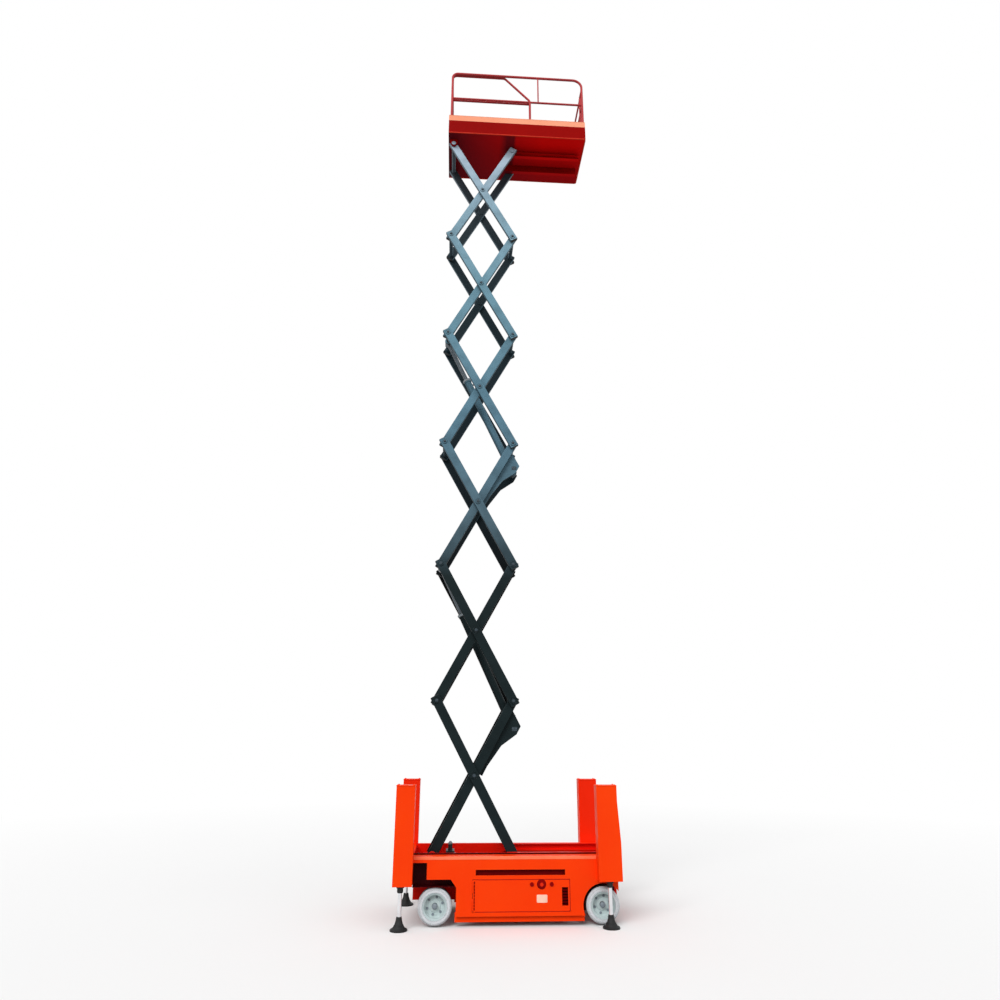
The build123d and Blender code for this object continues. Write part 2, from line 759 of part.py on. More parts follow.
def platform():
    deck = block(*deck_x, -deck_y, deck_y, deck_floor - sheet, deck_floor)
    deck += block(*deck_x, -deck_y, deck_y, deck_low, deck_low + sheet)
    deck += block(deck_x[1] - sheet, deck_x[1], -deck_y, deck_y, deck_low, toe_low)
    side = block(*deck_x, deck_y - sheet, deck_y, deck_low, toe_low)
    ledge = roller_radius + track_fit
    web_y = deck_roller_y[0] - side_gap - cap_thick - 3.5
    wall_y, plate_y = (web_y - runner_wall, web_y), (web_y - runner_wall, deck_roller_y[1] + 4)
    runner = block(track_start, track_end, *plate_y, top_z + ledge, top_z + ledge + track_plate)
    runner += block(track_start, track_end, *plate_y, top_z - ledge - track_plate, top_z - ledge)
    runner += block(track_start, track_end, *wall_y, top_z - ledge - track_plate, deck_low + 1)
    lug_y = (outer_y[1] + side_gap + 4, outer_y[1] + lug_thick - 2)
    lug = block(left_x - lug_half, left_x + lug_half, *lug_y, top_z, deck_low + 1)
    lug += bar_y(left_x, top_z, lug_round, *lug_y)
    lug -= bar_y(left_x, top_z, pin_radius + pin_fit, lug_y[0] - 1, lug_y[1] + 1)
    for shape in (side, runner, lug):
        deck += shape
        deck += other_side(shape)
    return deck


def toe_boards():
    return block(*deck_x, deck_y - sheet, deck_y - sheet + toe_thick, toe_low, toe_top)


def bent(points, radii, radius):
    """Round tube along a polyline whose inner corners are rounded."""
    path = FilletPolyline(*points, radius=radii) if len(points) > 2 else Line(*points)
    start = Plane(origin=path @ 0, z_dir=path % 0)
    return sweep(start * Circle(radius), path=path)


def main_rails():
    y, join = rail_y, deck_x[0] + rail_join
    front = [(rail_left, y, deck_floor), (rail_left, y, rail_top), (join, y, rail_top)]
    rear = [(join, y, rail_top), (rail_right, y, rail_top), (rail_right, y, deck_floor)]
    rail = bent(front, bend_left, rail_radius) + bent(rear, bend_right, rail_radius)
    rail += bar_x(y, rail_mid, mid_radius, rail_left, rail_right)
    rail += bar_z(ext_end + strut_from_end, y, strut_radius, rail_mid, rail_top)
    rail += bar_z(ext_end, y, mid_radius, deck_floor, rail_mid)
    rail += bar_z(rail_right, gate_half + gate_post, rail_radius, deck_floor, rail_top - gate_drop)
    for z in (rail_mid, rail_top - gate_drop):
        rail += bar_y(rail_right, z, mid_radius, gate_half + gate_post, y)
    return rail


def gate_hinges():
    axis_y = gate_half - gate_axis
    lugs = None
    for z in (deck_floor + 150, rail_top - gate_drop - 140):
        lug = bar_z(rail_right, axis_y, gate_lug, z, z + lug_high)
        lug += block(rail_right - 12, rail_right + 12, axis_y, gate_half + 12, z, z + lug_high)
        lugs = lug if lugs is None else lugs + lug
    return lugs - bar_z(rail_right, axis_y, gate_radius + pin_fit, deck_floor, rail_top)


def extension_deck():
    low = ext_floor - ext_wall
    deck = block(*ext_x, -ext_y, ext_y, low, ext_floor)
    deck += block(ext_x[0], ext_x[0] + ext_wall, -ext_y, ext_y, low, ext_wall_top)
    side = block(*ext_x, ext_y - ext_wall, ext_y, low, ext_wall_top)
    for x in (ext_rail_x, ext_end):
        socket_x = (x - socket_half, x + socket_half)
        inside = ext_rail_y - ext_rail_radius
        side += block(*socket_x, inside, ext_y, ext_wall_top - socket_high, ext_wall_top)
    side += block(*ext_x, glide_y - glide_half, glide_y + glide_half, deck_floor + runner_gap, low + 1)
    return deck + side + other_side(side)


def extension_rails():
    y, low, front = ext_rail_y, ext_wall_top, ext_rail_x
    brace_x, brace_z = deck_x[0] + ext_brace[0], rail_mid + ext_brace[1]
    points = [(front, low), (front, rail_top), (brace_x, rail_top), (ext_end, brace_z), (ext_end, low)]
    side = bent([(x, y, z) for x, z in points], ext_bend, ext_rail_radius)
    side += bar_x(y, rail_mid, ext_mid_radius, front, ext_end)
    whole = side + other_side(side)
    for z in (rail_mid, rail_top - ext_cross_drop):
        whole += bar_y(front, z, ext_mid_radius, -y, y)
    return whole


def entry_gate():
    half = gate_half - gate_axis
    low, high = deck_floor + gate_over_deck, rail_top - gate_drop
    gate = bar_z(rail_right, half, gate_radius, low, high)
    gate += bar_z(rail_right, -half, gate_radius, low, high)
    for z in (low + 20, rail_mid, high - 15):
        gate += bar_y(rail_right, z, gate_bar, -half, half)
    return gate


def main():
    os.makedirs("parts", exist_ok=True)
    save("chassis_tub", tub())
    save("front_beam", front_beam())
    panel = side_panel()
    save("side_panel_near", other_side(panel))
    save("side_panel_far", panel)
    door = tray_door()
    save("door_near", other_side(vented(door)))
    save("door_far", door)
    save("ground_controls", *controls())
    save("pothole_guards", *both(pothole_guard()))
    save("battery_pack", battery_pack())
    save("hydraulic_unit", *hydraulic_unit())
    save("front_axle", front_axle())
    save("knuckle_near", other_side(knuckle()))
    save("knuckle_far", knuckle())
    save("tie_rod", tie_rod())
    save("rear_drives", *both(rear_drive()))
    for end, x in (("front", front_axle_x), ("rear", rear_axle_x)):
        for name, side in (("near", -1), ("far", 1)):
            tyre, rim = wheel_parts(x, side)
            save(f"tyre_{end}_{name}", tyre)
            save(f"rim_{end}_{name}", rim)
    save("leg_housings", *both(leg_housing(True)), *both(leg_housing(False)))
    save("leg_glands", *both(leg_gland(True)), *both(leg_gland(False)))
    for end, x in (("front", leg_front_x), ("rear", leg_rear_x)):
        rod = bar_z(x, leg_y, leg_rod_radius, foot_height, leg_rod_top)
        pad = foot(x)
        save(f"leg_rod_{end}_near", other_side(rod))
        save(f"leg_rod_{end}_far", rod)
        save(f"foot_{end}_near", other_side(pad))
        save(f"foot_{end}_far", pad)
    for stage in range(stages):
        save(f"inner_arms_{stage + 1}", *inner_frame(stage))
        save(f"outer_arms_{stage + 1}", *outer_frame(stage))
    save("base_rollers", *both(roller(right_x, base_z, *base_roller_y)))
    save("deck_rollers", *both(roller(right_x, top_z, *deck_roller_y)))
    bracket = lift_bracket()
    barrel, rod = cylinder_parts()
    for name, stage in (("lower", 0), ("upper", 2)):
        save(f"bracket_{name}", on_inner(bracket, stage))
        save(f"barrel_{name}", place_cylinder(barrel, stage))
        save(f"lift_rod_{name}", place_cylinder(rod, stage))
    save("platform_deck", platform())
    save("toe_boards", *both(toe_boards()))
    rails = main_rails()
    save("main_rails", rails + gate_hinges(), other_side(rails))
    save("extension_deck", extension_deck())
    save("extension_rails", extension_rails())
    save("entry_gate", entry_gate())


if __name__ == "__main__":
    main()
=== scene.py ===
import json
import math

import bmesh
import bpy
import numpy as np
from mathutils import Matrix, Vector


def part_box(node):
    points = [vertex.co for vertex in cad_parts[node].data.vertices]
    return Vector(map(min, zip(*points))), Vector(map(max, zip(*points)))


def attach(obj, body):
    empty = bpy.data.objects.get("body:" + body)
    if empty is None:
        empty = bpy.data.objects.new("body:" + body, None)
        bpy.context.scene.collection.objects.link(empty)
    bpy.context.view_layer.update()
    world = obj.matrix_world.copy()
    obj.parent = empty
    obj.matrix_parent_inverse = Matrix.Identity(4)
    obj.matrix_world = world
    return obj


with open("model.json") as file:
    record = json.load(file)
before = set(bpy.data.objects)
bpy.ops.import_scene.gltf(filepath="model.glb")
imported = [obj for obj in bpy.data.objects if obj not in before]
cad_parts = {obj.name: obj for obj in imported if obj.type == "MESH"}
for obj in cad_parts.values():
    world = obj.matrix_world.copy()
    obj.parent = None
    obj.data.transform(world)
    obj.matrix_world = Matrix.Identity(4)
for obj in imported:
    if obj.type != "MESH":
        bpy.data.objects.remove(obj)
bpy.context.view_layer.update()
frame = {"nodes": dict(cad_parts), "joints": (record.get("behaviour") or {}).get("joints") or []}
nodes = frame["nodes"]
jointAt = {joint["name"]: np.array(joint["pos_m"]) for joint in frame["joints"] if "pos_m" in joint}
jointAlong = {joint["name"]: np.array(joint["axis"]) for joint in frame["joints"]}

# the scissor stack, read off its joints
stageCount = sum(name.startswith("centre_") for name in jointAt)
leftX, baseZ = jointAt["lift"][0], jointAt["lift"][2]
centreX = jointAt["centre_1"][0]
rightX = 2 * centreX - leftX
rise = 2 * (jointAt["centre_1"][2] - baseZ)
armAngle = math.atan2(rise, rightX - leftX)
armReach = math.hypot(rise, rightX - leftX)

sideSign = {"near": -1, "far": 1}
cornerNames = ("front_near", "front_far", "rear_near", "rear_far")
alongX, alongY, alongZ = (1, 0, 0), (0, 1, 0), (0, 0, 1)
mergeGap = 1e-6             # points this close become one
softEdge, crispEdge = 35, 20    # degrees from which an edge is sharp


# surfaces

def gridSurface(points, wrapRows=False):
    # a grid of points becomes quads between neighbouring rows and columns, each row closed on itself
    rows, columns = points.shape[:2]
    lastRow = rows if wrapRows else rows - 1
    row, column = np.meshgrid(np.arange(lastRow), np.arange(columns), indexing="ij")
    nextRow, nextColumn = (row + 1) % rows, (column + 1) % columns
    corners = [
        row * columns + column,
        row * columns + nextColumn,
        nextRow * columns + nextColumn,
        nextRow * columns + column,
    ]
    return points.reshape(-1, 3), np.stack(corners, -1).reshape(-1, 4)


def joined(*surfaces):
    # several surfaces in one list of points and faces
    starts = np.cumsum([0] + [len(points) for points, _ in surfaces])
    points = np.concatenate([points for points, _ in surfaces])
    faces = np.concatenate([faces + start for (_, faces), start in zip(surfaces, starts)])
    return points, faces


def unit(vectors):
    return vectors / np.linalg.norm(vectors, axis=-1, keepdims=True)


def turns(count):
    # equal angles once round
    return np.arange(count) * 2 * np.pi / count


def repeated(surface, places, along=alongZ, across=alongX):
    # copies of a surface: its own z axis turned to along, its x axis towards across, moved to each place
    points, faces = surface
    places = np.atleast_2d(np.asarray(places, float))
    count = len(places)
    zAxis = unit(np.broadcast_to(np.asarray(along, float), (count, 3)))
    xHint = np.broadcast_to(np.asarray(across, float), (count, 3))
    xAxis = unit(xHint - np.sum(xHint * zAxis, -1, keepdims=True) * zAxis)
    turn = np.stack([xAxis, np.cross(zAxis, xAxis), zAxis], -1)
    moved = np.einsum("nij,pj->npi", turn, points) + places[:, None]
    starts = np.arange(count)[:, None, None] * len(points)
    return moved.reshape(-1, 3), (faces[None] + starts).reshape(-1, 4)


def onBothSides(surface, places, sideY):
    # copies at plus and minus sideY, each turned outwards
    out = np.array([0, sideY, 0])
    return joined(*[repeated(surface, places + sign * out, (0, sign, 0)) for sign in sideSign.values()])


def revolved(profile, sides=24):
    # each profile point (radius, height) goes once round the z axis
    profile = np.asarray(profile, float)
    flat = profile[:, None, :1] * roundProfile(1.0, sides)
    height = np.broadcast_to(profile[:, None, 1:], flat.shape[:2] + (1,))
    return gridSurface(np.concatenate([flat, height], -1))


def roundProfile(radius, sides=12):
    # a circle of (side, lift) pairs
    angle = turns(sides)
    return radius * np.stack([np.cos(angle), np.sin(angle)], -1)


def ringBead(radius, bead, sides=24, around=8):
    # a circle of radius bead, carried round the z axis at radius
    points, _ = revolved(roundProfile(bead, around) + [radius, 0], sides)
    return gridSurface(points.reshape(around, sides, 3), wrapRows=True)


def roundedSlab(half, rows, squareness=6.0, columns=32):
    # a superellipse outline in x and y, drawn in by each row's inset and lifted to its height
    # a first and a last row of no size close both ends
    halfWide, halfHigh = half
    angle = turns(columns)
    power = 2 / squareness
    side = np.sign(np.cos(angle)) * np.abs(np.cos(angle)) ** power
    lift = np.sign(np.sin(angle)) * np.abs(np.sin(angle)) ** power
    rows = np.asarray(rows, float)
    rows = np.concatenate([[[halfWide, rows[0, 1]]], rows, [[halfWide, rows[-1, 1]]]])
    inset, height = rows[:, :1], rows[:, 1:]
    wide = np.maximum(halfWide - inset, 0) * side
    high = np.maximum(halfHigh - inset * halfHigh / halfWide, 0) * lift
    return gridSurface(np.stack([wide, high, np.broadcast_to(height, wide.shape)], -1))


def bevelledSlab(half, wall, thick, bevel, sunk=0.0, squareness=6.0, columns=32):
    # a rounded slab with an upright wall, drawn in by the bevel at its top
    return roundedSlab(half, [(0.0, -sunk), (0.0, wall), (bevel, thick)], squareness, columns)


def roundedPath(corners, radius, steps=6):
    # straight runs between corners, each inner corner an arc of the given radius, all in one plane
    corners = np.asarray(corners, float)
    stretches = [corners[:1]]
    for before, corner, after in zip(corners, corners[1:], corners[2:]):
        come, leave = unit(before - corner), unit(after - corner)
        half = math.acos(np.clip(come @ leave, -1, 1)) / 2
        centre = corner + unit(come + leave) * radius / math.sin(half)
        start = corner + come * radius / math.tan(half) - centre
        end = corner + leave * radius / math.tan(half) - centre
        share = np.linspace(0, 1, steps)[:, None]
        bend = math.pi - 2 * half
        arc = (np.sin((1 - share) * bend) * start + np.sin(share * bend) * end) / math.sin(bend)
        stretches.append(centre + arc)
    stretches.append(corners[-1:])
    return np.concatenate(stretches)


def straightPath(start, end):
    # a straight line in two halves
    return np.linspace(start, end, 3)


def swept(path, profile, up=alongZ):
    # a profile of (side, lift) pairs carried along a path, side being the path's direction crossed with up
    path, profile = np.asarray(path, float), np.asarray(profile, float)
    ahead = unit(np.gradient(path, axis=0))
    side = unit(np.cross(ahead, np.asarray(up, float)))
    lift = np.cross(side, ahead)
    rows = path[:, None] + side[:, None] * profile[None, :, :1] + lift[:, None] * profile[None, :, 1:]
    first = np.broadcast_to(rows[:1].mean(1, keepdims=True), rows[:1].shape)
    last = np.broadcast_to(rows[-1:].mean(1, keepdims=True), rows[-1:].shape)
    return gridSurface(np.concatenate([first, rows, last]))


boltLook = {"washerEdge": (0.95, 0.7), "headEdge": (0.9, 0.85)}   # shares of radius and height


def hexBolt(radius, high, washer, thick):
    # a round washer with a six-sided head on it, both with their top edge broken
    def drum(wide, low, tall, edge, sides):
        top, wall = low + tall, low + tall * edge[1]
        return revolved([(0, low), (wide, low), (wide, wall), (wide * edge[0], top), (0, top)], sides)

    ring = drum(washer, 0, thick, boltLook["washerEdge"], 24)
    return joined(ring, drum(radius, thick, high, boltLook["headEdge"], 6))


def middleOf(name):
    low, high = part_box(name)
    return (np.array(low) + np.array(high)) / 2


def makePiece(name, surface, body, finish, sharpAngle=softEdge):
    points, faces = surface
    mesh = bpy.data.meshes.new(name)
    mesh.from_pydata(points.tolist(), [], faces.tolist())
    form = bmesh.new()
    form.from_mesh(mesh)
    bmesh.ops.remove_doubles(form, verts=form.verts, dist=mergeGap)
    bmesh.ops.recalc_face_normals(form, faces=form.faces)
    form.to_mesh(mesh)
    form.free()
    mesh.shade_smooth()
    mesh.set_sharp_from_angle(angle=math.radians(sharpAngle))
    mesh.materials.append(finishes[finish])
    piece = bpy.data.objects.new(name, mesh)
    bpy.context.scene.collection.objects.link(piece)
    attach(piece, body)


# finishes

def linear(colour):
    # a colour as a screen shows it, 0 to 255, turned to light levels
    levels = np.array(colour) / 255
    light = np.where(levels > 0.04045, ((levels + 0.055) / 1.055) ** 2.4, levels / 12.92)
    return (*light.tolist(), 1.0)


def emptyTree(owner):
    owner.use_nodes = True
    owner.node_tree.nodes.clear()
    return owner.node_tree


def newFinish(name):
    finish = bpy.data.materials.new(name)
    tree = emptyTree(finish)
    output = tree.nodes.new("ShaderNodeOutputMaterial")
    shader = tree.nodes.new("ShaderNodeBsdfPrincipled")
    tree.links.new(shader.outputs["BSDF"], output.inputs["Surface"])
    place = tree.nodes.new("ShaderNodeTexCoord").outputs
    return finish, tree, shader, place["Object"], place["Normal"]


def noise(tree, place, scale, detail=3.0, rough=0.55):
    node = tree.nodes.new("ShaderNodeTexNoise")
    for name, number in (("Scale", scale), ("Detail", detail), ("Roughness", rough)):
        node.inputs[name].default_value = number
    tree.links.new(place, node.inputs["Vector"])
    return node.outputs["Fac"]


def spread(tree, value, low, high, toLow=0.0, toHigh=1.0):
    # low to high becomes toLow to toHigh, held at both ends
    node = tree.nodes.new("ShaderNodeMapRange")
    for name, number in (("From Min", low), ("From Max", high), ("To Min", toLow), ("To Max", toHigh)):
        node.inputs[name].default_value = number
    tree.links.new(value, node.inputs["Value"])
    return node.outputs["Result"]


def sums(tree, operation, first, second=0.0):
    node = tree.nodes.new("ShaderNodeMath")
    node.operation = operation
    for socket, value in zip(node.inputs, (first, second)):
        if isinstance(value, (int, float)):
            socket.default_value = value
        else:
            tree.links.new(value, socket)
    return node.outputs["Value"]


def times(tree, first, second):
    return sums(tree, "MULTIPLY", first, second)


def patchy(tree, place, grain, span):
    # a noise with the given scale and detail, spread over a span of its values
    return spread(tree, noise(tree, place, *grain), *span)


def mixed(tree, factor, first, second):
    node = tree.nodes.new("ShaderNodeMix")
    node.data_type = "RGBA"
    tree.links.new(factor, node.inputs["Factor"])
    for name, colour in (("A", first), ("B", second)):
        socket = [s for s in node.inputs if s.name == name and s.type == "RGBA"][0]
        if isinstance(colour, tuple):
            socket.default_value = colour
        else:
            tree.links.new(colour, socket)
    return [s for s in node.outputs if s.type == "RGBA"][0]


def splitUp(tree, vector):
    node = tree.nodes.new("ShaderNodeSeparateXYZ")
    tree.links.new(vector, node.inputs["Vector"])
    return [node.outputs[name] for name in "XYZ"]


def rampOf(tree, value, stops):
    node = tree.nodes.new("ShaderNodeValToRGB")
    elements = node.color_ramp.elements
    while len(elements) < len(stops):
        elements.new(1.0)
    for element, (position, colour) in zip(elements, stops):
        element.position = position
        element.color = colour
    tree.links.new(value, node.inputs["Fac"])
    return node.outputs["Color"]


def bumped(tree, shader, height, strength, distance):
    node = tree.nodes.new("ShaderNodeBump")
    node.inputs["Strength"].default_value = strength
    node.inputs["Distance"].default_value = distance
    tree.links.new(height, node.inputs["Height"])
    tree.links.new(node.outputs["Normal"], shader.inputs["Normal"])


edgeTurn = (0.99, 0.80)     # cosines at which an edge starts to wear and is worn in full


def edgeMask(tree, radius):
    # how far the normal of a rounded edge leaves the face's own normal
    rounded = tree.nodes.new("ShaderNodeBevel")
    rounded.inputs["Radius"].default_value = radius
    face = tree.nodes.new("ShaderNodeNewGeometry")
    dot = tree.nodes.new("ShaderNodeVectorMath")
    dot.operation = "DOT_PRODUCT"
    tree.links.new(rounded.outputs["Normal"], dot.inputs[0])
    tree.links.new(face.outputs["Normal"], dot.inputs[1])
    return spread(tree, dot.outputs["Value"], *edgeTurn)


def towardsMiddle(tree, place, faces):
    # below 0 on a side that faces the middle plane: the normal's y times the sign of the place's y
    y, faceY = splitUp(tree, place)[1], splitUp(tree, faces)[1]
    return times(tree, faceY, sums(tree, "SIGN", y))


paintLook = {
    # scale per metre and detail of a noise, then its span
    "patches": ((1.7, 4.0), (0.35, 0.7)),               # broad fading
    "specks": ((60.0, 2.0), (0.64, 0.8, 0.0, 0.1)),     # dust
    "chips": ((30.0, 3.0), (0.48, 0.62)),               # along worn edges
    "wearRadius": 0.005,
    "wear": 0.5,
    "sheen": 9.0,
    "sheenRange": (0.3, 0.7),
    "roughStep": (-0.06, 0.1),  # roughness below and above the paint's own
    "peel": (420.0, 1.0),       # sprayed texture
    "peelDepth": (0.35, 0.00025),
    "turned": (-0.3, -0.8),     # a face that looks inwards or down, from starting to in full
}


def paintFinish(name, colour, faded, worn, rough=0.4, gloss=0.06, inwardShade=None, shaded=None, underShade=None):
    # one paint, broadly faded, specked with dust and worn along its edges
    # sides that face the middle can take a painted shade colour, and shaded gives painted shade beyond a
    # side distance
    # faces that look down take painted shadow at one end and in a band, painted light at the other end
    finish, tree, shader, place, faces = newFinish(name)
    look = paintLook
    paint = mixed(tree, patchy(tree, place, *look["patches"]), linear(colour), linear(faded))
    x, y, _ = splitUp(tree, place)
    # painted shade on sides that face the middle
    if inwardShade:
        inwardShadeMask = spread(tree, towardsMiddle(tree, place, faces), *look["turned"])
        paint = mixed(tree, inwardShadeMask, paint, linear(inwardShade))
    if shaded:
        beyond = spread(tree, sums(tree, "ABSOLUTE", y), *shaded["side"])
        within = spread(tree, x, *shaded["end"])
        paint = mixed(tree, times(tree, beyond, within), paint, linear(shaded["colour"]))
    # painted shadow and painted light on downward faces, by place along and across
    if underShade:
        litShare = times(tree, spread(tree, x, *underShade["along"]), spread(tree, y, *underShade["across"]))
        start, end = (spread(tree, x, *underShade[name]) for name in ("shadowBandStart", "shadowBandEnd"))
        shadowBand = spread(tree, times(tree, start, end), *underShade["shadowBand"])
        litShare = times(tree, litShare, shadowBand)
        below = mixed(tree, litShare, linear(underShade["paintedShadow"]), linear(underShade["paintedLight"]))
        paint = mixed(tree, spread(tree, splitUp(tree, faces)[2], *look["turned"]), paint, below)
    paint = mixed(tree, patchy(tree, place, *look["specks"]), paint, linear(worn))
    wear = times(tree, edgeMask(tree, look["wearRadius"]), patchy(tree, place, *look["chips"]))
    paint = mixed(tree, times(tree, wear, look["wear"]), paint, linear(worn))
    tree.links.new(paint, shader.inputs["Base Color"])
    roughness = [rough + step for step in look["roughStep"]]
    sheen = spread(tree, noise(tree, place, look["sheen"]), *look["sheenRange"], *roughness)
    tree.links.new(sheen, shader.inputs["Roughness"])
    shader.inputs["Specular IOR Level"].default_value = gloss
    bumped(tree, shader, noise(tree, place, *look["peel"]), *look["peelDepth"])
    return finish


armLook = {
    # painted light and shade of the arm paint up the stack, dark low and pale high: stage number and colour
    # as seen
    "stops": [
        (1.9, (26, 37, 39)),
        (2.35, (82, 106, 118)),
        (3.2, (90, 126, 144)),
        (4.5, (110, 150, 166)),
        (5.3, (138, 170, 186)),
        (5.9, (174, 194, 210)),
    ],
    "patches": ((5.0, 4.0), (0.4, 0.75, 0.0, 0.3)),
    "inside": (-0.2, -0.8, 0.0, 0.97),  # painted shade on sides that face the stack's middle
    "underShade": (-0.1, -0.6, 0.0, 0.85),   # painted shade on faces that look down
    "grimeAndShade": 0.05,          # brightness left under the grime and the painted shade
    "scuffs": (30.0, 4.0, 0.7),
    "scuffRange": (0.48, 0.66),
    "scuffed": (150, 165, 172),
    "wearRadius": 0.004,
    "wear": 0.4,
    "rough": (0.3, 0.7, 0.38, 0.56),
    "gloss": 0.06,
    "grain": (300.0, 1.0),
    "grainDepth": (0.3, 0.0003),
}


def armFinish():
    # painted light and shade by height up the stack, painted shade on faces towards the middle and on
    # downward faces over random grime patches, scuffed along its edges
    finish, tree, shader, place, faces = newFinish("armPaint")
    look = armLook
    # painted light and shade: the arm colour runs from dark at the foot of the stack to pale at its top
    height = spread(tree, splitUp(tree, place)[2], baseZ, baseZ + stageCount * rise)
    paint = rampOf(tree, height, [(stage / stageCount, linear(colour)) for stage, colour in look["stops"]])
    grimeAndShade = patchy(tree, place, *look["patches"])
    # painted shade on faces that look to the stack's middle and on faces that look down, over random grime
    # patches
    grimeAndShade = sums(tree, "MAXIMUM", spread(tree, towardsMiddle(tree, place, faces), *look["inside"]), grimeAndShade)
    grimeAndShade = sums(tree, "MAXIMUM", spread(tree, splitUp(tree, faces)[2], *look["underShade"]), grimeAndShade)
    darker = tree.nodes.new("ShaderNodeHueSaturation")
    darker.inputs["Value"].default_value = look["grimeAndShade"]
    tree.links.new(paint, darker.inputs["Color"])
    paint = mixed(tree, grimeAndShade, paint, darker.outputs["Color"])
    scuffs = noise(tree, place, *look["scuffs"])
    chips = spread(tree, scuffs, *look["scuffRange"])
    wear = times(tree, edgeMask(tree, look["wearRadius"]), chips)
    paint = mixed(tree, times(tree, wear, look["wear"]), paint, linear(look["scuffed"]))
    tree.links.new(paint, shader.inputs["Base Color"])
    tree.links.new(spread(tree, scuffs, *look["rough"]), shader.inputs["Roughness"])
    shader.inputs["Specular IOR Level"].default_value = look["gloss"]
    bumped(tree, shader, noise(tree, place, *look["grain"]), *look["grainDepth"])
    return finish


plainLook = {
    "detail": 4.0,
    "mix": (0.3, 0.7),
    "rough": (0.25, 0.75),
    "roughShare": (0.85, 1.2),
    "bump": (6, 2.0, 0.4),      # finer by, detail, strength
}


def plainFinish(name, colour, second, scale, rough, metallic=0.0, depth=0.0003, gloss=0.3):
    # two close colours mixed by a noise of the given scale, with a finer bump
    finish, tree, shader, place, _ = newFinish(name)
    look = plainLook
    grain = noise(tree, place, scale, look["detail"])
    both = mixed(tree, spread(tree, grain, *look["mix"]), linear(colour), linear(second))
    tree.links.new(both, shader.inputs["Base Color"])
    roughness = [rough * share for share in look["roughShare"]]
    tree.links.new(spread(tree, grain, *look["rough"], *roughness), shader.inputs["Roughness"])
    shader.inputs["Metallic"].default_value = metallic
    shader.inputs["Specular IOR Level"].default_value = gloss
    finer, detail, strength = look["bump"]
    bumped(tree, shader, noise(tree, place, scale * finer, detail), strength, depth)
    return finish


def fromAxis(tree, place, axisX, axisZ):
    # distance from a line along y: the root of the two squares' sum
    x, _, z = splitUp(tree, place)
    squares = []
    for value, middle in ((x, axisX), (z, axisZ)):
        away = sums(tree, "SUBTRACT", value, middle)
        squares.append(times(tree, away, away))
    return sums(tree, "SQRT", sums(tree, "ADD", *squares))


def recoloured(finish, factor, colour):
    # a further colour on a finish, as far as factor goes
    tree = finish.node_tree
    socket = tree.nodes["Principled BSDF"].inputs["Base Color"]
    tree.links.new(mixed(tree, factor, socket.links[0].from_socket, linear(colour)), socket)


tyreLook = {
    "cone": (0.1380, 0.1390, 1.0, 0.0),     # the rim's paint ends between these radii
    "paint": (180, 196, 197),
    "tread": (0.75, 0.45),
    # painted shade on the tread
    "treadShade": (104, 112, 116),
}


def dressTyres(finish):
    # the cone beside the rim in the rim's paint, the tread darker with painted shade
    # distance from the nearer hub tells the cone, a face that looks away from the axle is tread
    tree = finish.node_tree
    place = tree.nodes["Texture Coordinate"].outputs
    hubs = [middleOf(f"tyre_{end}_near").tolist() for end in ("front", "rear")]
    reach = [fromAxis(tree, place["Object"], x, z) for x, _, z in hubs]
    cone = spread(tree, sums(tree, "MINIMUM", *reach), *tyreLook["cone"])
    recoloured(finish, cone, tyreLook["paint"])
    faceY = splitUp(tree, place["Normal"])[1]
    tread = spread(tree, sums(tree, "ABSOLUTE", faceY), *tyreLook["tread"])
    tread = times(tree, tread, sums(tree, "SUBTRACT", 1.0, cone))
    recoloured(finish, tread, tyreLook["treadShade"])


knobLook = {"middle": 0.132, "centre": (0.0185, 0.0205, 1.0, 0.0), "red": (224, 44, 14)}


def knobMiddle():
    # x and z of the middle control's axis
    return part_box("ground_controls")[0].x + knobLook["middle"], float(middleOf("ground_controls")[2])


def dressKnobs(finish):
    # a red centre on the middle control
    tree = finish.node_tree
    reach = fromAxis(tree, tree.nodes["Texture Coordinate"].outputs["Object"], *knobMiddle())
    recoloured(finish, spread(tree, reach, *knobLook["centre"]), knobLook["red"])


wellShade = {"side": (0.3889, 0.3895), "end": (1.25, 1.24), "colour": (58, 3, 8)}
# painted shadow and painted light under the deck: shadow at the front end, towards the far side and in a
# band near the middle
deckUnderShade = {
    "along": (-0.9, 0.6),
    "across": (-0.35, 0.65, 1.0, 0.25),
    "shadowBandStart": (-0.12, 0.0),
    "shadowBandEnd": (0.15, 0.11),
    "shadowBand": (0.0, 1.0, 1.0, 0.15),
    "paintedShadow": (100, 16, 26),
    "paintedLight": (252, 10, 8),
}
# colours of the paint, faded and worn, and what differs from other paints
paints = {
    # the base paint's colour for sides that face the middle is painted shade
    "basePaint": ((250, 64, 6), (247, 58, 5), (255, 120, 74), {"inwardShade": (238, 38, 6)}),
    # the tub paint is a redder copy of the base paint: painted shade; wellShade darkens it further as
    # painted shade in the wheel wells
    "innerShadedPaint": ((238, 24, 6), (226, 18, 5), (236, 80, 56), {"rough": 0.42, "shaded": wellShade}),
    # the deck paint is darker than the base paint: painted shade over the whole platform
    "deckShadedPaint": (
        (152, 7, 4), (140, 5, 4), (182, 40, 28), {"rough": 0.45, "gloss": 0.02, "underShade": deckUnderShade},
    ),
    # the rail paint is lighter and paler than the deck paint: painted light on the thin tubes
    "railLitPaint": ((194, 66, 68), (174, 68, 70), (206, 120, 116), {"rough": 0.44}),
    # the toe boards' salmon is the base orange lightened: a painted highlight
    "toeHighlightPaint": ((250, 168, 134), (247, 156, 120), (255, 196, 170), {}),
    # the folds' lighter orange is a painted highlight along the panels' top edges
    "edgeHighlightPaint": ((255, 128, 90), (250, 112, 74), (255, 170, 140), {}),
    # the fascia lip's lighter red is a painted highlight
    "lipHighlightPaint": ((224, 62, 40), (208, 50, 34), (240, 124, 98), {}),
}
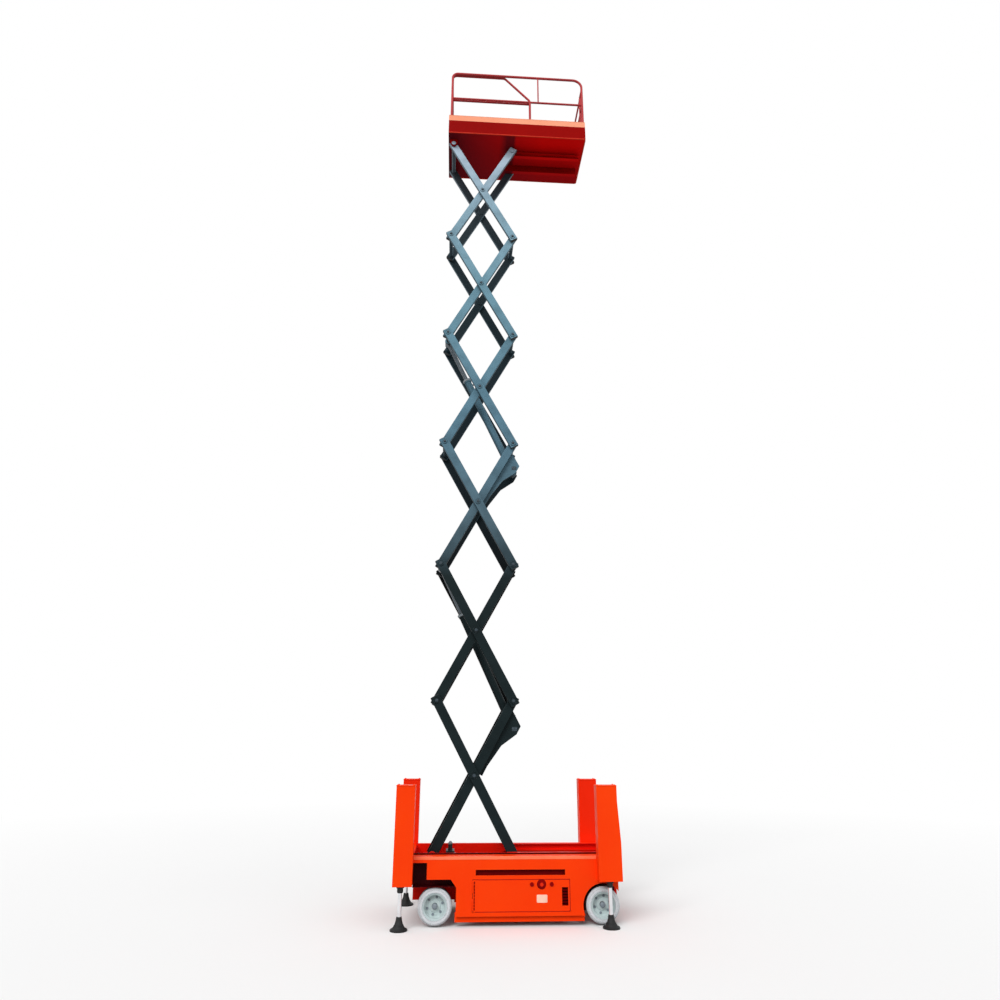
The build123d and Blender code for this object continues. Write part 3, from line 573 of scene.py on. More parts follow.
# two colours, scale per metre, roughness and what differs from plain
plains = {
    "axleBlack": ((34, 34, 36), (24, 24, 26), 40.0, 0.45, {}),
    "chromeRod": ((236, 238, 240), (222, 226, 230), 8.0, 0.14, {"metallic": 1.0, "depth": 0.00004}),
    "liftRod": ((92, 100, 106), (72, 80, 86), 12.0, 0.3, {"metallic": 0.6, "depth": 0.00005}),
    "footRubber": ((20, 21, 22), (32, 33, 34), 90.0, 0.62, {}),
    "paleTyre": ((218, 222, 226), (202, 206, 210), 26.0, 0.6, {}),
    "paleRim": ((198, 213, 213), (176, 191, 191), 18.0, 0.36, {}),
    "hubGrey": ((132, 142, 150), (112, 122, 130), 40.0, 0.4, {}),
    "maroonKnob": ((146, 2, 4), (130, 2, 4), 60.0, 0.5, {"gloss": 0.06}),
    "maroonShade": ((120, 0, 2), (104, 0, 2), 30.0, 0.6, {"gloss": 0.05}),
    "batteryCase": ((30, 31, 33), (22, 23, 25), 50.0, 0.5, {}),
    "capYellow": ((206, 160, 46), (188, 142, 36), 60.0, 0.45, {}),
    "nylonGrey": ((120, 124, 128), (104, 108, 112), 50.0, 0.5, {}),
    "pinSteel": ((64, 76, 84), (46, 56, 62), 70.0, 0.42, {"metallic": 0.5, "depth": 0.0001}),
    "zincBolt": ((128, 136, 140), (98, 106, 110), 70.0, 0.36, {"metallic": 0.8, "depth": 0.0001}),
    # a darker red for the strips round the doors: painted shade of their seams
    "seamShadeRed": ((188, 26, 8), (172, 20, 8), 40.0, 0.5, {"gloss": 0.1}),
    "plateWhite": ((255, 210, 188), (250, 200, 176), 40.0, 0.4, {"gloss": 0.15}),
}
finishes = {name: paintFinish(name, *look, **more) for name, (*look, more) in paints.items()}
finishes["armPaint"] = armFinish()
finishes.update({name: plainFinish(name, *look, **more) for name, (*look, more) in plains.items()})
dressTyres(finishes["paleTyre"])
dressKnobs(finishes["maroonKnob"])

# which nodes have which finish, by how their names start
nodesOf = {
    "basePaint": ("side_panel", "door", "front_beam", "pothole", "leg_housings"),
    "innerShadedPaint": ("chassis_tub",),
    "deckShadedPaint": ("platform_deck", "extension_deck"),
    "toeHighlightPaint": ("toe_boards",),
    "railLitPaint": ("main_rails", "extension_rails", "entry_gate"),
    "armPaint": ("inner_arms", "outer_arms", "bracket", "barrel"),
    "liftRod": ("lift_rod",),
    "nylonGrey": ("base_rollers", "deck_rollers"),
    "axleBlack": ("front_axle", "knuckle", "tie_rod", "rear_drives", "hydraulic_unit"),
    "batteryCase": ("battery_pack",),
    "maroonKnob": ("ground_controls",),
    "paleTyre": ("tyre",),
    "paleRim": ("rim",),
    "chromeRod": ("leg_rod",),
    "footRubber": ("leg_glands", "foot"),
}
for nodeName, node in nodes.items():
    finish = next(name for name, starts in nodesOf.items() if nodeName.startswith(starts))
    node.data.materials.clear()
    node.data.materials.append(finishes[finish])
print("finishes:", len(bpy.data.materials))


# the scissor stack: bolts on its pins, plugs in its arms' ends, welds round its bosses

stackLook = {
    "bolt": (0.0165, 0.011, 0.021, 0.003),  # head's corner radius and height, washer's radius and thickness
    "weld": (0.041, 0.0035),                # radius round a boss, and of the bead
    "plugHalf": (0.0565, 0.0235),
    # inset and height of a plug's rows, from inside the arm to its top
    "plugRows": [
        (0.004, -0.012), (0.004, 0.0005), (0.0, 0.0006), (0.0, 0.003), (0.003, 0.0055), (0.012, 0.0065),
    ],
    "plugSquareness": 9.0,
    "past": 0.054,                          # arm length past its end pins
    "armY": {"inner": 0.235, "outer": 0.293},
    "armHalf": 0.025,
}
pinBolt = hexBolt(*stackLook["bolt"])
endPlug = roundedSlab(stackLook["plugHalf"], stackLook["plugRows"], stackLook["plugSquareness"])
weldRing = ringBead(*stackLook["weld"])
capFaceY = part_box("inner_arms_2")[1].y
for stage in range(stageCount):
    lowZ = baseZ + stage * rise
    for kind, startX, lean in (("inner", leftX, 1), ("outer", rightX, -1)):
        ahead = np.array([lean * math.cos(armAngle), 0, math.sin(armAngle)])
        foot = np.array([startX, 0, lowZ])
        armY = stackLook["armY"][kind]
        sides = np.array([[0, -armY, 0], [0, armY, 0]])
        lower = foot - ahead * stackLook["past"] + sides
        upper = foot + ahead * (armReach + stackLook["past"]) + sides
        across = np.cross(ahead, alongY)
        plugs = joined(repeated(endPlug, lower, -ahead, across), repeated(endPlug, upper, ahead, across))
        body = f"{kind}_{stage + 1}"
        makePiece(f"armEndPlugs_{body}", plugs, body, "footRubber")
        pins = foot + ahead * np.array([[0.0], [armReach / 2], [armReach]])
        face = np.array([0, armY + stackLook["armHalf"], 0])
        rings = repeated(weldRing, np.concatenate([pins - face, pins + face]), alongY)
        makePiece(f"bossWelds_{body}", rings, body, "armPaint")
    pinPlaces = [(centreX, 0, lowZ + rise / 2)]
    if stage:
        pinPlaces.append((leftX, 0, lowZ))
    if stage < stageCount - 1:
        pinPlaces.append((rightX, 0, lowZ + rise))
    bolts = onBothSides(pinBolt, np.array(pinPlaces), capFaceY)
    makePiece(f"pinBolts_{stage + 1}", bolts, f"inner_{stage + 1}", "pinSteel")
print("scissor pins, plugs and welds:", 5 * stageCount, "pieces")


# lift cylinders: gland nuts, wipers, hose unions, keeper plates on the base pins

cylinderLook = {
    "mouth": 1.6088,        # barrel length from its base pin
    "nutLong": 0.034,
    "nutRows": [
        (0.0, 0.0), (0.05828, 0.0), (0.062, 0.004), (0.062, 0.030), (0.05828, 0.034), (0.034, 0.034),
    ],
    "nutSides": 8,
    "wiperRows": [(0.046, 0.0), (0.044, 0.006), (0.036, 0.010), (0.031, 0.010)],
    "unionRows": [(0.0, 0.0), (0.014, 0.0), (0.014, 0.02), (0.0098, 0.0225), (0.0098, 0.05), (0.0, 0.05)],
    "unionAt": (0.14, 1.50),
    "unionOut": 0.047,
    "keeper": {"half": (0.034, 0.026), "wall": 0.0028, "thick": 0.004, "bevel": 0.0015, "squareness": 7.0},
    "keeperBolt": (0.008, 0.0025, 0.011, 0.001),
    "boltStep": 0.02,
    "pinY": 0.200,
}
glandNut = revolved(cylinderLook["nutRows"], cylinderLook["nutSides"])
wiper = revolved(cylinderLook["wiperRows"], 32)
hoseUnion = revolved(cylinderLook["unionRows"], 12)
keeperTop = cylinderLook["keeper"]["thick"]
keeperBolts = [(sign * cylinderLook["boltStep"], 0, keeperTop) for sign in (-1, 1)]
keeper = joined(
    bevelledSlab(**cylinderLook["keeper"]),
    repeated(hexBolt(*cylinderLook["keeperBolt"]), keeperBolts),
)
for name, arms in (("lower", "inner_1"), ("upper", "inner_3")):
    barrel = f"barrel_{name}"
    basePin = jointAt[f"cylinder_{name}_swing"]
    along = unit(jointAlong[f"cylinder_{name}_rod"])
    above = np.cross(along, alongY)
    mouth = basePin + along * cylinderLook["mouth"]
    nut = repeated(glandNut, mouth - along * cylinderLook["nutLong"], along, alongY)
    makePiece(f"glandNut_{name}", nut, barrel, "zincBolt")
    makePiece(f"rodWiper_{name}", repeated(wiper, mouth, along, alongY), barrel, "footRubber")
    unions = basePin + along * np.array(cylinderLook["unionAt"])[:, None] - above * cylinderLook["unionOut"]
    makePiece(f"hoseUnions_{name}", repeated(hoseUnion, unions, -above), barrel, "zincBolt")
    keepers = onBothSides(keeper, basePin, cylinderLook["pinY"])
    makePiece(f"pinKeepers_{name}", keepers, arms, "pinSteel")
print("cylinders dressed")


# wheels: nuts, hub cap and tyre ribs

wheelLook = {
    "nuts": 6,
    "firstNut": 0.3,        # radians
    "nutCircle": 0.088,
    "nut": (0.0105, 0.011, 0.014175, 0.002),
    "dishIn": 0.0715,       # dish face behind the tyre's outer face
    "hubIn": 0.0335,
    "hubRows": [
        (0.0, 0.0), (0.031, 0.0), (0.031, 0.006), (0.02666, 0.01),
        (0.0248, 0.022), (0.0155, 0.027), (0.0, 0.028),
    ],
    "ribs": (0.142, 0.168),
    "rib": (0.003, 48),     # radius, and sides round the wheel
}
nut, hub = hexBolt(*wheelLook["nut"]), revolved(wheelLook["hubRows"])
turn = turns(wheelLook["nuts"]) + wheelLook["firstNut"]
nutCircle = np.stack([np.cos(turn), np.zeros_like(turn), np.sin(turn)], -1) * wheelLook["nutCircle"]
for wheel in cornerNames:
    low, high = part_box(f"tyre_{wheel}")
    out = sideSign[wheel.split("_")[1]]
    outward = np.array([0, out, 0])
    centre = middleOf(f"tyre_{wheel}")
    centre[1] = low.y if out < 0 else high.y
    nuts = repeated(nut, centre + nutCircle - outward * wheelLook["dishIn"], outward)
    makePiece(f"wheelNuts_{wheel}", nuts, f"wheel_{wheel}", "hubGrey")
    cap = repeated(hub, centre - outward * wheelLook["hubIn"], outward)
    makePiece(f"hubCap_{wheel}", cap, f"wheel_{wheel}", "hubGrey")
    ribs = [repeated(ringBead(radius, *wheelLook["rib"]), centre, outward) for radius in wheelLook["ribs"]]
    makePiece(f"tyreRibs_{wheel}", joined(*ribs), f"wheel_{wheel}", "paleTyre")
print("wheels dressed")


# base: plate, bezel and vent slats on the near door, seals and hinges on both

doorLook = {
    "plateAt": (0.39, 0.282),
    "plate": {"half": (0.06, 0.04), "wall": 0.0015, "thick": 0.0025, "bevel": 0.0015, "squareness": 10.0},
    "bezel": (0.047, 0.005, 40),        # radius, bead, sides
    "ventX": (0.0885, 0.0215),          # back from the door's end
    "ventZ": (0.214, 0.393),
    "slats": 7,
    "slatIn": 0.012,
    "slat": [(-0.012, -0.012), (-0.010, -0.013), (0.004, 0.009), (0.002, 0.010)],
    "sealFrom": 0.042,                  # past the hinge edge
    "seal": [(-0.0045, 0.0), (0.0045, 0.0), (0.00315, 0.0016), (-0.00315, 0.0016)],
    "sealCorner": 0.018,
    "leafFrom": 0.029,
    "leafEnds": 0.03,
    "leaves": 9,
    "leaf": {"half": (0.006, 0.0135), "wall": 0.0012, "thick": 0.002, "bevel": 0.0012},
}
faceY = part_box("chassis_tub")[0].y
doorLow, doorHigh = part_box("door_far")
plateX, plateZ = doorLook["plateAt"]
blank = repeated(bevelledSlab(**doorLook["plate"]), (plateX, faceY, plateZ), (0, -1, 0))
makePiece("doorPlate", blank, "door_near", "plateWhite")
knobX, knobZ = knobMiddle()
bezel = repeated(ringBead(*doorLook["bezel"]), (knobX, faceY, knobZ), (0, -1, 0))
makePiece("controlBezel", bezel, "door_near", "maroonShade")
ventX = [doorHigh.x - back for back in doorLook["ventX"]]
slat = swept(straightPath(*[(x, 0, 0) for x in ventX]), doorLook["slat"])
slatZ = np.linspace(*doorLook["ventZ"], doorLook["slats"])
slats = repeated(slat, [(0, faceY + doorLook["slatIn"], z) for z in slatZ])
makePiece("ventSlats", slats, "door_near", "maroonShade", crispEdge)
sealX, leafX = doorLow.x + doorLook["sealFrom"], doorLow.x + doorLook["leafFrom"]
corners = [(sealX, doorHigh.z), (doorHigh.x, doorHigh.z), (doorHigh.x, doorLow.z), (sealX, doorLow.z)]
leafZ = np.linspace(doorLow.z + doorLook["leafEnds"], doorHigh.z - doorLook["leafEnds"], doorLook["leaves"])
leaf = bevelledSlab(**doorLook["leaf"])
for name, side in sideSign.items():
    skinY, outward = side * abs(faceY), (0, side, 0)
    path = roundedPath([(x, skinY, z) for x, z in corners], doorLook["sealCorner"])
    # the strip round each door is a darker red: painted shade of the door's seam
    seal = swept(path, doorLook["seal"], outward)
    makePiece(f"doorTrim_{name}", seal, f"door_{name}", "seamShadeRed", crispEdge)
    leaves = repeated(leaf, [(leafX, skinY, z) for z in leafZ], outward)
    makePiece(f"hingeLeaves_{name}", leaves, f"door_{name}", "maroonShade")

# folded top edges of the side panels in a lighter orange, a painted highlight, and channels behind their
# long slots in dark maroon, painted shade
panelLook = {
    "foldX": (-1.058, 1.016),
    "foldSunk": 0.0005,
    "fold": [(0.0, -0.03), (0.003, -0.03), (0.003, -0.002), (0.0, 0.0012)],
    "slotX": (-0.372, 0.672),
    "slotZ": (0.506, 0.589),
    "slotIn": 0.0055,
    "slotDeep": 0.045,
    "sheet": 0.003,
}
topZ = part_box("side_panel_near")[1].z
deep, sheet = panelLook["slotDeep"], panelLook["sheet"]
slotMid = sum(panelLook["slotZ"]) / 2
half = panelLook["slotZ"][1] - slotMid
outer = [(0.0, -half), (deep, -half), (deep, half), (0.0, half)]
backIn, halfIn = deep - sheet, half - sheet
inner = [(0.0, halfIn), (backIn, halfIn), (backIn, -halfIn), (0.0, -halfIn)]
folds = []
for side in sideSign.values():
    foldY = side * (abs(faceY) - panelLook["foldSunk"])
    line = straightPath(*[(x, foldY, topZ) for x in panelLook["foldX"]])
    folds.append(swept(line, np.array(panelLook["fold"]) * [-side, 1]))
makePiece("panelFolds", joined(*folds), "chassis", "edgeHighlightPaint", crispEdge)
# the channels are dark maroon: painted shade inside the slots
for name, side in sideSign.items():
    backY = side * (abs(faceY) - panelLook["slotIn"])
    line = straightPath(*[(x, backY, slotMid) for x in panelLook["slotX"]])
    channel = swept(line, np.array(outer + inner) * [side, 1])
    makePiece(f"slotShadeChannel_{name}", channel, "chassis", "maroonShade", crispEdge)
print("base trim done")


# legs: lids on the housings, ribs round the feet, wipers under the glands

legLook = {
    "lidX": ((-1.277, -1.062), (1.020, 1.257)),
    "lidY": (0.545, 0.690),
    "lidZ": 1.465,
    "lidOver": 0.004,
    "lid": {
        "wall": 0.0049, "thick": 0.007, "bevel": 0.003, "sunk": 0.004, "squareness": 14.0, "columns": 48,
    },
    "bolt": (0.0075, 0.006, 0.012, 0.002),
    "boltIn": 0.022,
    # radius, height and bead
    "footRings": ((0.088, 0.0165, 0.0035), (0.052, 0.054, 0.003), (0.032, 0.115, 0.003)),
    "ringSides": 40,
    "wiperRows": [(0.031, 0.001), (0.031, -0.0045), (0.026, -0.009), (0.0226, -0.009)],
    "glandLong": 0.058,
}
lids = []
lidTop, lidBolt = legLook["lid"]["thick"], hexBolt(*legLook["bolt"])
for x0, x1 in legLook["lidX"]:
    y0, y1 = legLook["lidY"]
    halfX, halfY = ((high - low) / 2 + legLook["lidOver"] for low, high in ((x0, x1), (y0, y1)))
    lid = bevelledSlab((halfX, halfY), **legLook["lid"])
    boltX, boltY = halfX - legLook["boltIn"], halfY - legLook["boltIn"]
    bolts = np.array([(x, y, lidTop) for x in (-boltX, boltX) for y in (-boltY, boltY)])
    for side in sideSign.values():
        centre = np.array([(x0 + x1) / 2, side * (y0 + y1) / 2, legLook["lidZ"]])
        lids += [repeated(lid, centre), repeated(lidBolt, centre + bolts)]
makePiece("housingLids", joined(*lids), "chassis", "basePaint")
underGland = {
    "front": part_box("leg_housings")[0].z - legLook["glandLong"],
    "rear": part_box("leg_glands")[1].z - legLook["glandLong"],
}
wiper = revolved(legLook["wiperRows"], 32)
wipers = []
for leg in cornerNames:
    x, y, _ = middleOf(f"foot_{leg}")
    rings = [
        repeated(ringBead(radius, bead, legLook["ringSides"]), (x, y, z))
        for radius, z, bead in legLook["footRings"]
    ]
    makePiece(f"footRibs_{leg}", joined(*rings), f"leg_{leg}", "footRubber")
    x, y, _ = middleOf(f"leg_rod_{leg}")
    wipers.append(repeated(wiper, (x, y, underGland[leg.split("_")[0]])))
makePiece("glandWipers", joined(*wipers), "chassis", "footRubber")
print("legs dressed")


# battery pack and hydraulics in the open tub

packLook = {
    "cells": (4, 2),
    "gap": 0.012,
    "lid": {"wall": 0.0165, "thick": 0.022, "bevel": 0.006, "squareness": 10.0},
    "caps": 3,
    "capSpread": 0.5,       # share of a cell's half width
    "capRows": [(0.017, 0.0), (0.017, 0.0084), (0.0136, 0.012), (0.0, 0.012)],
    "postAt": (0.72, 0.8),
    "postRows": [(0.011, 0.0), (0.00935, 0.02), (0.0, 0.02)],
}
packLow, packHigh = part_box("battery_pack")
cellsX, cellsY = packLook["cells"]
cellX = (packHigh.x - packLow.x) / cellsX
cellY = (packHigh.y - packLow.y) / cellsY
halfX, halfY = cellX / 2 - packLook["gap"], cellY / 2 - packLook["gap"]
column, row = np.meshgrid(np.arange(cellsX) + 0.5, np.arange(cellsY) + 0.5, indexing="ij")
cells = [packLow.x + column * cellX, packLow.y + row * cellY, np.full_like(column, packHigh.z)]
cells = np.stack(cells, -1).reshape(-1, 3)
cellLid = bevelledSlab((halfX, halfY), **packLook["lid"])
makePiece("batteryLids", repeated(cellLid, cells), "chassis", "batteryCase")
cells = cells + [0, 0, packLook["lid"]["thick"]]
capSteps = np.linspace(-1, 1, packLook["caps"])[:, None] * [0, packLook["capSpread"] * halfY, 0]
capSpots = (cells[:, None] + capSteps[None]).reshape(-1, 3)
caps = repeated(revolved(packLook["capRows"], 12), capSpots)
makePiece("batteryCaps", caps, "chassis", "capYellow")
postX, postY = packLook["postAt"]
postSpots = np.concatenate([cells + [sign * halfX * postX, halfY * postY, 0] for sign in (-1, 1)])
posts = repeated(revolved(packLook["postRows"], 12), postSpots)
makePiece("batteryPosts", posts, "chassis", "zincBolt")

pumpLook = {
    "finX": (-0.430, -0.230),
    "finZ": 0.460,
    "fins": 12,
    "finRows": [(0.059, -0.003), (0.068, -0.0022), (0.068, 0.0022), (0.059, 0.003)],
    "fillerAt": (-0.20, 0.17, 0.400),
    "fillerRows": [
        (0.036, 0.0), (0.036, 0.012), (0.03, 0.016), (0.03, 0.034), (0.026, 0.038), (0.0, 0.038),
    ],
    "valveX": -0.650,
    "valveY": (-0.0605, 0.0, 0.0605),
    "valveZ": 0.779,
    "valveNut": (0.015, 0.014, 0.022, 0.004),
    "portX": -0.601,
    "portY": (-0.07, 0.0, 0.07),
    "portZ": (0.52, 0.60, 0.66),
    "portPlug": (0.013, 0.012, 0.018, 0.003),
}
finSpots = [(x, 0.0, pumpLook["finZ"]) for x in np.linspace(*pumpLook["finX"], pumpLook["fins"])]
fins = repeated(revolved(pumpLook["finRows"], 32), finSpots, alongX, alongY)
makePiece("motorFins", fins, "chassis", "axleBlack")
filler = repeated(revolved(pumpLook["fillerRows"], 32), pumpLook["fillerAt"])
makePiece("tankFiller", filler, "chassis", "footRubber")
valveSpots = [(pumpLook["valveX"], y, pumpLook["valveZ"]) for y in pumpLook["valveY"]]
nuts = repeated(hexBolt(*pumpLook["valveNut"]), valveSpots)
makePiece("valveNuts", nuts, "chassis", "zincBolt")
portSpots = [(pumpLook["portX"], y, z) for z in pumpLook["portZ"] for y in pumpLook["portY"]]
ports = repeated(hexBolt(*pumpLook["portPlug"]), portSpots, alongX, alongY)
makePiece("portPlugs", ports, "chassis", "zincBolt")
print("tub fittings done")


# rear wall: grip strips in the step openings and bolt heads round them

rearLook = {
    "stepZ": (0.330, 0.500),
    "stripHalf": 0.186,
    "stripIn": 0.005,
    "stripSunk": 0.0005,
    "strip": [
        (-0.008, 0.0), (0.008, 0.0), (0.008, 0.003), (0.0056, 0.005), (-0.0056, 0.005), (-0.008, 0.003),
    ],
    "bolt": (0.010, 0.007, 0.015, 0.002),
    "boltY": 0.235,
    "boltUp": (0.012, 0.058),
}
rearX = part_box("chassis_tub")[1].x
strips, heads = [], []
for z in rearLook["stepZ"]:
    stripX, stripZ = rearX - rearLook["stripIn"], z - rearLook["stripSunk"]
    line = straightPath(*[(stripX, sign * rearLook["stripHalf"], stripZ) for sign in (-1, 1)])
    strips.append(swept(line, rearLook["strip"]))
    spots = [(rearX, sign * rearLook["boltY"], z + up) for sign in (-1, 1) for up in rearLook["boltUp"]]
    heads.append(repeated(hexBolt(*rearLook["bolt"]), spots, alongX, alongY))
makePiece("stepGrips", joined(*strips), "chassis", "footRubber", crispEdge)
makePiece("rearBolts", joined(*heads), "chassis", "zincBolt")
print("rear wall done")


# platform: a bead under the fascia and along the toe boards

deckLook = {
    "fasciaDeep": 0.245,
    "lipBead": 0.010,
    "corner": 0.03,
    "edgeIn": 0.004,
    "toeBead": 0.0055,
    "toeIn": (0.004, 0.003),
}
deckLow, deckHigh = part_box("platform_deck")
edgeX = (deckLow.x + deckLook["edgeIn"], deckHigh.x - deckLook["edgeIn"])
edgeY = deckHigh.y - deckLook["edgeIn"]
lipZ = deckHigh.z - deckLook["fasciaDeep"]
around = [(edgeX[0], -edgeY), (edgeX[1], -edgeY), (edgeX[1], edgeY), (edgeX[0], edgeY)]
path = roundedPath([(x, y, lipZ) for x, y in around], deckLook["corner"])
lip = swept(path, roundProfile(deckLook["lipBead"]))
# the lip is lighter than the deck paint: painted highlight along the fascia's lower edge
makePiece("fasciaLip", lip, "platform", "lipHighlightPaint")
toeLow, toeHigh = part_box("toe_boards")
toeInX, toeInY = deckLook["toeIn"]
toeX, toeY = (toeLow.x + toeInX, toeHigh.x - toeInX), toeHigh.y - toeInY
lines = [straightPath(*[(x, y, z) for x in toeX]) for z in (toeHigh.z, toeLow.z) for y in (-toeY, toeY)]
beads = [swept(line, roundProfile(deckLook["toeBead"])) for line in lines]
# the toe beads share that painted highlight
makePiece("toeBeads", joined(*beads), "platform", "toeHighlightPaint")

# rails: collars where the posts stand and weld beads where tubes meet
railLook = {
    "radius": 0.019,
    "midRadius": 0.016,
    "midUp": 0.613,         # mid rail above the floor
    "postX": 0.372,
    "gatePostY": 0.314,
    "strutX": 0.508,
    "strutRadius": 0.011,
    "collarRows": [(0.019, 0.008), (0.0202, 0.008), (0.0212, 0.0056), (0.0212, 0.0), (0.015, 0.0)],
    "weld": 0.0032,
    "weldOut": 0.3,         # share of the bead outside the tube
}
railLow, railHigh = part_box("main_rails")
railRadius, midRadius = railLook["radius"], railLook["midRadius"]
railY = railHigh.y - railRadius
floorZ = railLow.z
midZ = floorZ + railLook["midUp"]
frontX, postX, rearPostX = railLow.x + railRadius, railLook["postX"], railHigh.x - railRadius
posts = [(x, sign * railY, floorZ) for x in (frontX, postX, rearPostX) for sign in (-1, 1)]
posts += [(rearPostX, sign * railLook["gatePostY"], floorZ) for sign in (-1, 1)]
collars = repeated(revolved(railLook["collarRows"]), posts)
makePiece("postCollars", collars, "platform", "railLitPaint")
weld = railLook["weld"]
midWeld, strutWeld = (
    ringBead(railLook[name] + weld * railLook["weldOut"], weld) for name in ("midRadius", "strutRadius")
)
beads = []
for y in (-railY, railY):
    ends = [(frontX + railRadius, y, midZ), (rearPostX - railRadius, y, midZ)]
    struts = [(railLook["strutX"], y, z) for z in (midZ + midRadius, railHigh.z - 2 * railRadius)]
    beads.append(repeated(midWeld, ends, alongX, alongY))
    beads.append(repeated(midWeld, (postX, y, midZ - midRadius)))
    beads.append(repeated(strutWeld, struts))
makePiece("railWelds", joined(*beads), "platform", "railLitPaint")

# raised tread on both floors
treadLook = {
    "pitch": 0.062,
    "half": (0.017, 0.0055),
    "sides": 10,
    "rows": ((1.0, 0.0), (0.72, 0.0018), (0.0, 0.0018)),    # share of the size, and height
    "deckIn": (0.05, 0.07),
    "deckY": (-0.42, 0.43),
    "extensionIn": ((0.05, 0.07), (0.03, 0.05)),
    "extensionUp": 0.014,
}


def lozenge():
    # two rings round a flat middle, stretched to a long oval
    points, faces = revolved(treadLook["rows"], treadLook["sides"])
    return points * [*treadLook["half"], 1], faces


def treadOver(low, high, z):
    # rows and columns one pitch apart, each neighbour turned the other way
    x, y = (np.arange(low[axis], high[axis], treadLook["pitch"]) for axis in (0, 1))
    column, row = np.meshgrid(np.arange(len(x)), np.arange(len(y)), indexing="ij")
    spots = np.stack([x[column], y[row], np.full(column.shape, z)], -1).reshape(-1, 3)
    lean = np.where((column + row) % 2, 1.0, -1.0).reshape(-1)
    across = np.stack([np.ones_like(lean), lean, np.zeros_like(lean)], -1)
    return repeated(lozenge(), spots, alongZ, across)


extensionLow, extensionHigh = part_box("extension_deck")
(lowInX, lowInY), (highInX, highInY) = treadLook["extensionIn"]
extensionTread = treadOver(
    (extensionLow.x + lowInX, extensionLow.y + lowInY),
    (extensionHigh.x - highInX, extensionHigh.y - highInY),
    floorZ + treadLook["extensionUp"],
)
makePiece("extensionTread", extensionTread, "extension", "deckShadedPaint", crispEdge)
treadX = (extensionHigh.x + treadLook["deckIn"][0], edgeX[1] - treadLook["deckIn"][1])
deckTread = treadOver(*zip(treadX, treadLook["deckY"]), floorZ)
makePiece("deckTread", deckTread, "platform", "deckShadedPaint", crispEdge)

# gate: a spring latch and hinge caps
gateLook = {
    "latch": {"half": (0.018, 0.034), "wall": 0.018, "thick": 0.022, "bevel": 0.004},
    "latchAt": (0.008, 0.02, 0.06),     # from the gate's middle, its near edge and the mid rail
    "capRows": [(0.0165, -0.004), (0.0165, 0.003), (0.012, 0.008), (0.0, 0.009)],
    "capIn": 0.015,
}
gateLow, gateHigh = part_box("entry_gate")
gateX = (gateLow.x + gateHigh.x) / 2
latchAt = np.array([gateX, gateLow.y, midZ]) + gateLook["latchAt"]
latch = repeated(bevelledSlab(**gateLook["latch"]), latchAt, alongX, alongY)
makePiece("gateLatch", latch, "gate", "axleBlack")
capSpots = [(gateX, sign * (gateHigh.y - gateLook["capIn"]), gateHigh.z) for sign in (-1, 1)]
caps = repeated(revolved(gateLook["capRows"]), capSpots)
makePiece("gateCaps", caps, "gate", "footRubber")
print("platform dressed")


# stage, lights and camera

def seenRays(tree):
    # 1 for rays that show a surface: from the camera, off metal and through glass
    ray = tree.nodes.new("ShaderNodeLightPath").outputs
    seen = sums(tree, "MAXIMUM", ray["Is Camera Ray"], ray["Is Glossy Ray"])
    return sums(tree, "MAXIMUM", seen, ray["Is Transmission Ray"])


def mixShaders(tree, factor, first, second, output):
    mix = tree.nodes.new("ShaderNodeMixShader")
    for socket, value in zip(mix.inputs, (factor, first.outputs[0], second.outputs[0])):
        tree.links.new(value, socket)
    tree.links.new(mix.outputs[0], output.inputs["Surface"])


stageLook = {
    "floor": 0.9,           # as the camera sees it
    "bounce": 0.34,         # as it lights the object
    "radius": 60.0,
    "rings": 24,
    "sides": 64,
    "fade": (4.5, 16.0),    # shadow fades into white between these distances
}


def makeFloor():
    # rings of a flat disc, closer together near the middle
    rings = stageLook["radius"] * np.linspace(0, 1, stageLook["rings"]) ** 2
    points, faces = revolved(np.stack([rings, np.zeros_like(rings)], -1), stageLook["sides"])
    mesh = bpy.data.meshes.new("floor")
    mesh.from_pydata(points.tolist(), [], faces[:, ::-1].tolist())
    finish = bpy.data.materials.new("floorWhite")
    tree = emptyTree(finish)
    output = tree.nodes.new("ShaderNodeOutputMaterial")
    matt = tree.nodes.new("ShaderNodeBsdfDiffuse")
    glow = tree.nodes.new("ShaderNodeEmission")
    away = tree.nodes.new("ShaderNodeVectorMath")
    away.operation = "LENGTH"
    tree.links.new(tree.nodes.new("ShaderNodeTexCoord").outputs["Object"], away.inputs[0])
    seen = seenRays(tree)
    shades = [(stageLook[name],) * 3 + (1.0,) for name in ("bounce", "floor")]
    tree.links.new(mixed(tree, seen, *shades), matt.inputs["Color"])
    fade = spread(tree, away.outputs["Value"], *stageLook["fade"])
    mixShaders(tree, times(tree, fade, seen), matt, glow, output)
    mesh.materials.append(finish)
    floor = bpy.data.objects.new("floor", mesh)
    bpy.context.scene.collection.objects.link(floor)


lightLook = {
    "sky": 0.62,
    "key": {"turn": (52, 0, -28), "strength": 1.9, "softness": 35},
    "fill": {"turn": (68, 0, 40), "strength": 0.5, "softness": 60},
}


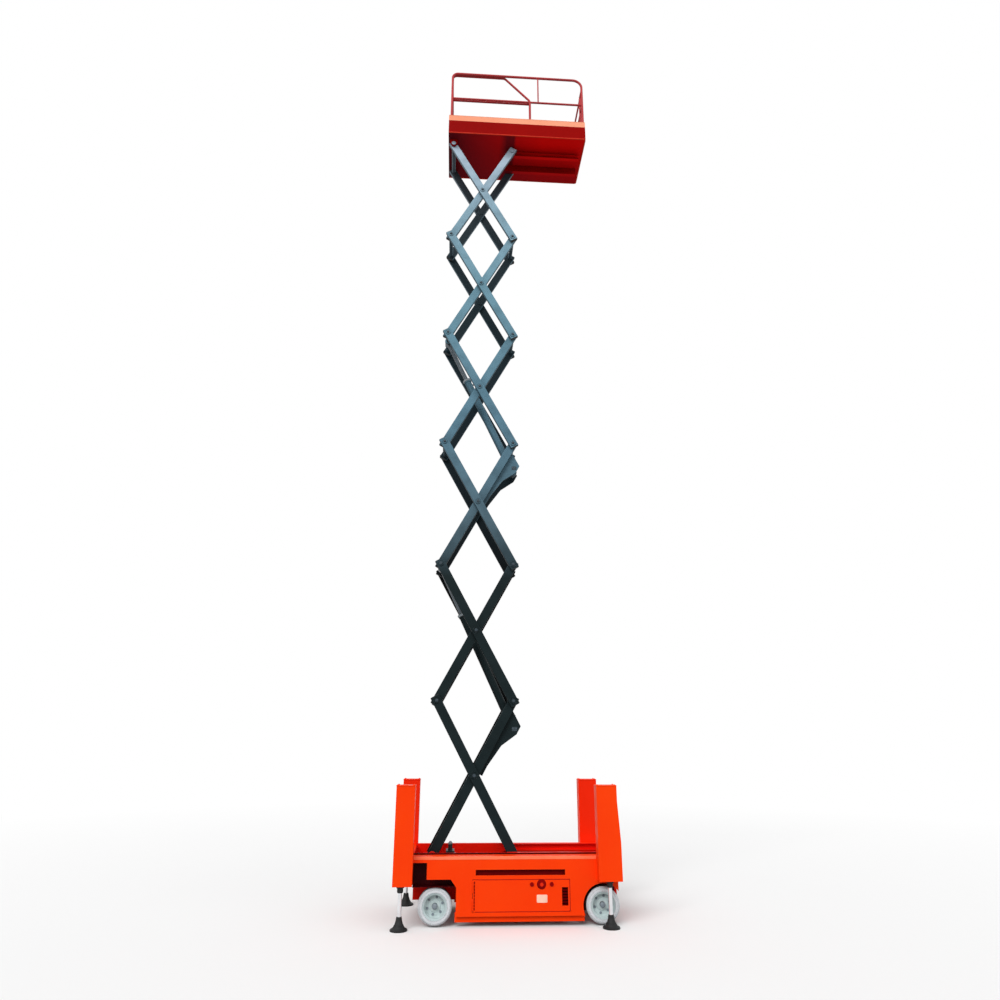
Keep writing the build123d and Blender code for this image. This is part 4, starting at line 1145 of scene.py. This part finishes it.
def makeLights():
    world = bpy.data.worlds.new("studio")
    bpy.context.scene.world = world
    tree = emptyTree(world)
    output = tree.nodes.new("ShaderNodeOutputWorld")
    sky, white = (tree.nodes.new("ShaderNodeBackground") for _ in range(2))
    sky.inputs["Strength"].default_value = lightLook["sky"]
    for node in (sky, white):
        node.inputs["Color"].default_value = (1, 1, 1, 1)
    mixShaders(tree, seenRays(tree), sky, white, output)
    for name in ("key", "fill"):
        look = lightLook[name]
        lamp = bpy.data.lights.new(name, "SUN")
        lamp.energy = look["strength"]
        lamp.angle = math.radians(look["softness"])
        holder = bpy.data.objects.new(name, lamp)
        holder.rotation_euler = [math.radians(turn) for turn in look["turn"]]
        bpy.context.scene.collection.objects.link(holder)


cameraLook = {
    "place": (-0.653, -9.455, 2.002),
    "focal": 710.0,         # pixels
    "wide": 1000,           # pixels across the picture
    "yaw": 0.06187,
    "pitch": 0.32175,
    "roll": 0.00417,
    "sensor": 36.0,
    "clip": 500,
}


def makeCamera():
    # yaw from +Y towards +X, then pitch up, then roll about the line of sight
    yaw, pitch, roll = (cameraLook[name] for name in ("yaw", "pitch", "roll"))
    forward = np.array([math.sin(yaw) * math.cos(pitch), math.cos(yaw) * math.cos(pitch), math.sin(pitch)])
    right = np.array([math.cos(yaw), -math.sin(yaw), 0])
    up = np.cross(right, forward)
    rolledRight = right * math.cos(roll) + up * math.sin(roll)
    rolledUp = up * math.cos(roll) - right * math.sin(roll)
    data = bpy.data.cameras.new("camera")
    data.sensor_width = cameraLook["sensor"]
    data.lens = cameraLook["sensor"] * cameraLook["focal"] / cameraLook["wide"]
    data.clip_end = cameraLook["clip"]
    camera = bpy.data.objects.new("camera", data)
    turn = np.eye(4)
    turn[:3, :3] = np.stack([rolledRight, rolledUp, -forward], -1)
    turn[:3, 3] = cameraLook["place"]
    camera.matrix_world = turn.T.tolist()
    bpy.context.scene.collection.objects.link(camera)
    bpy.context.scene.camera = camera


makeFloor()
makeLights()
makeCamera()
print("stage, lights and camera set")

bpy.context.scene.view_settings.view_transform = "Standard"
bpy.context.view_layer.update()
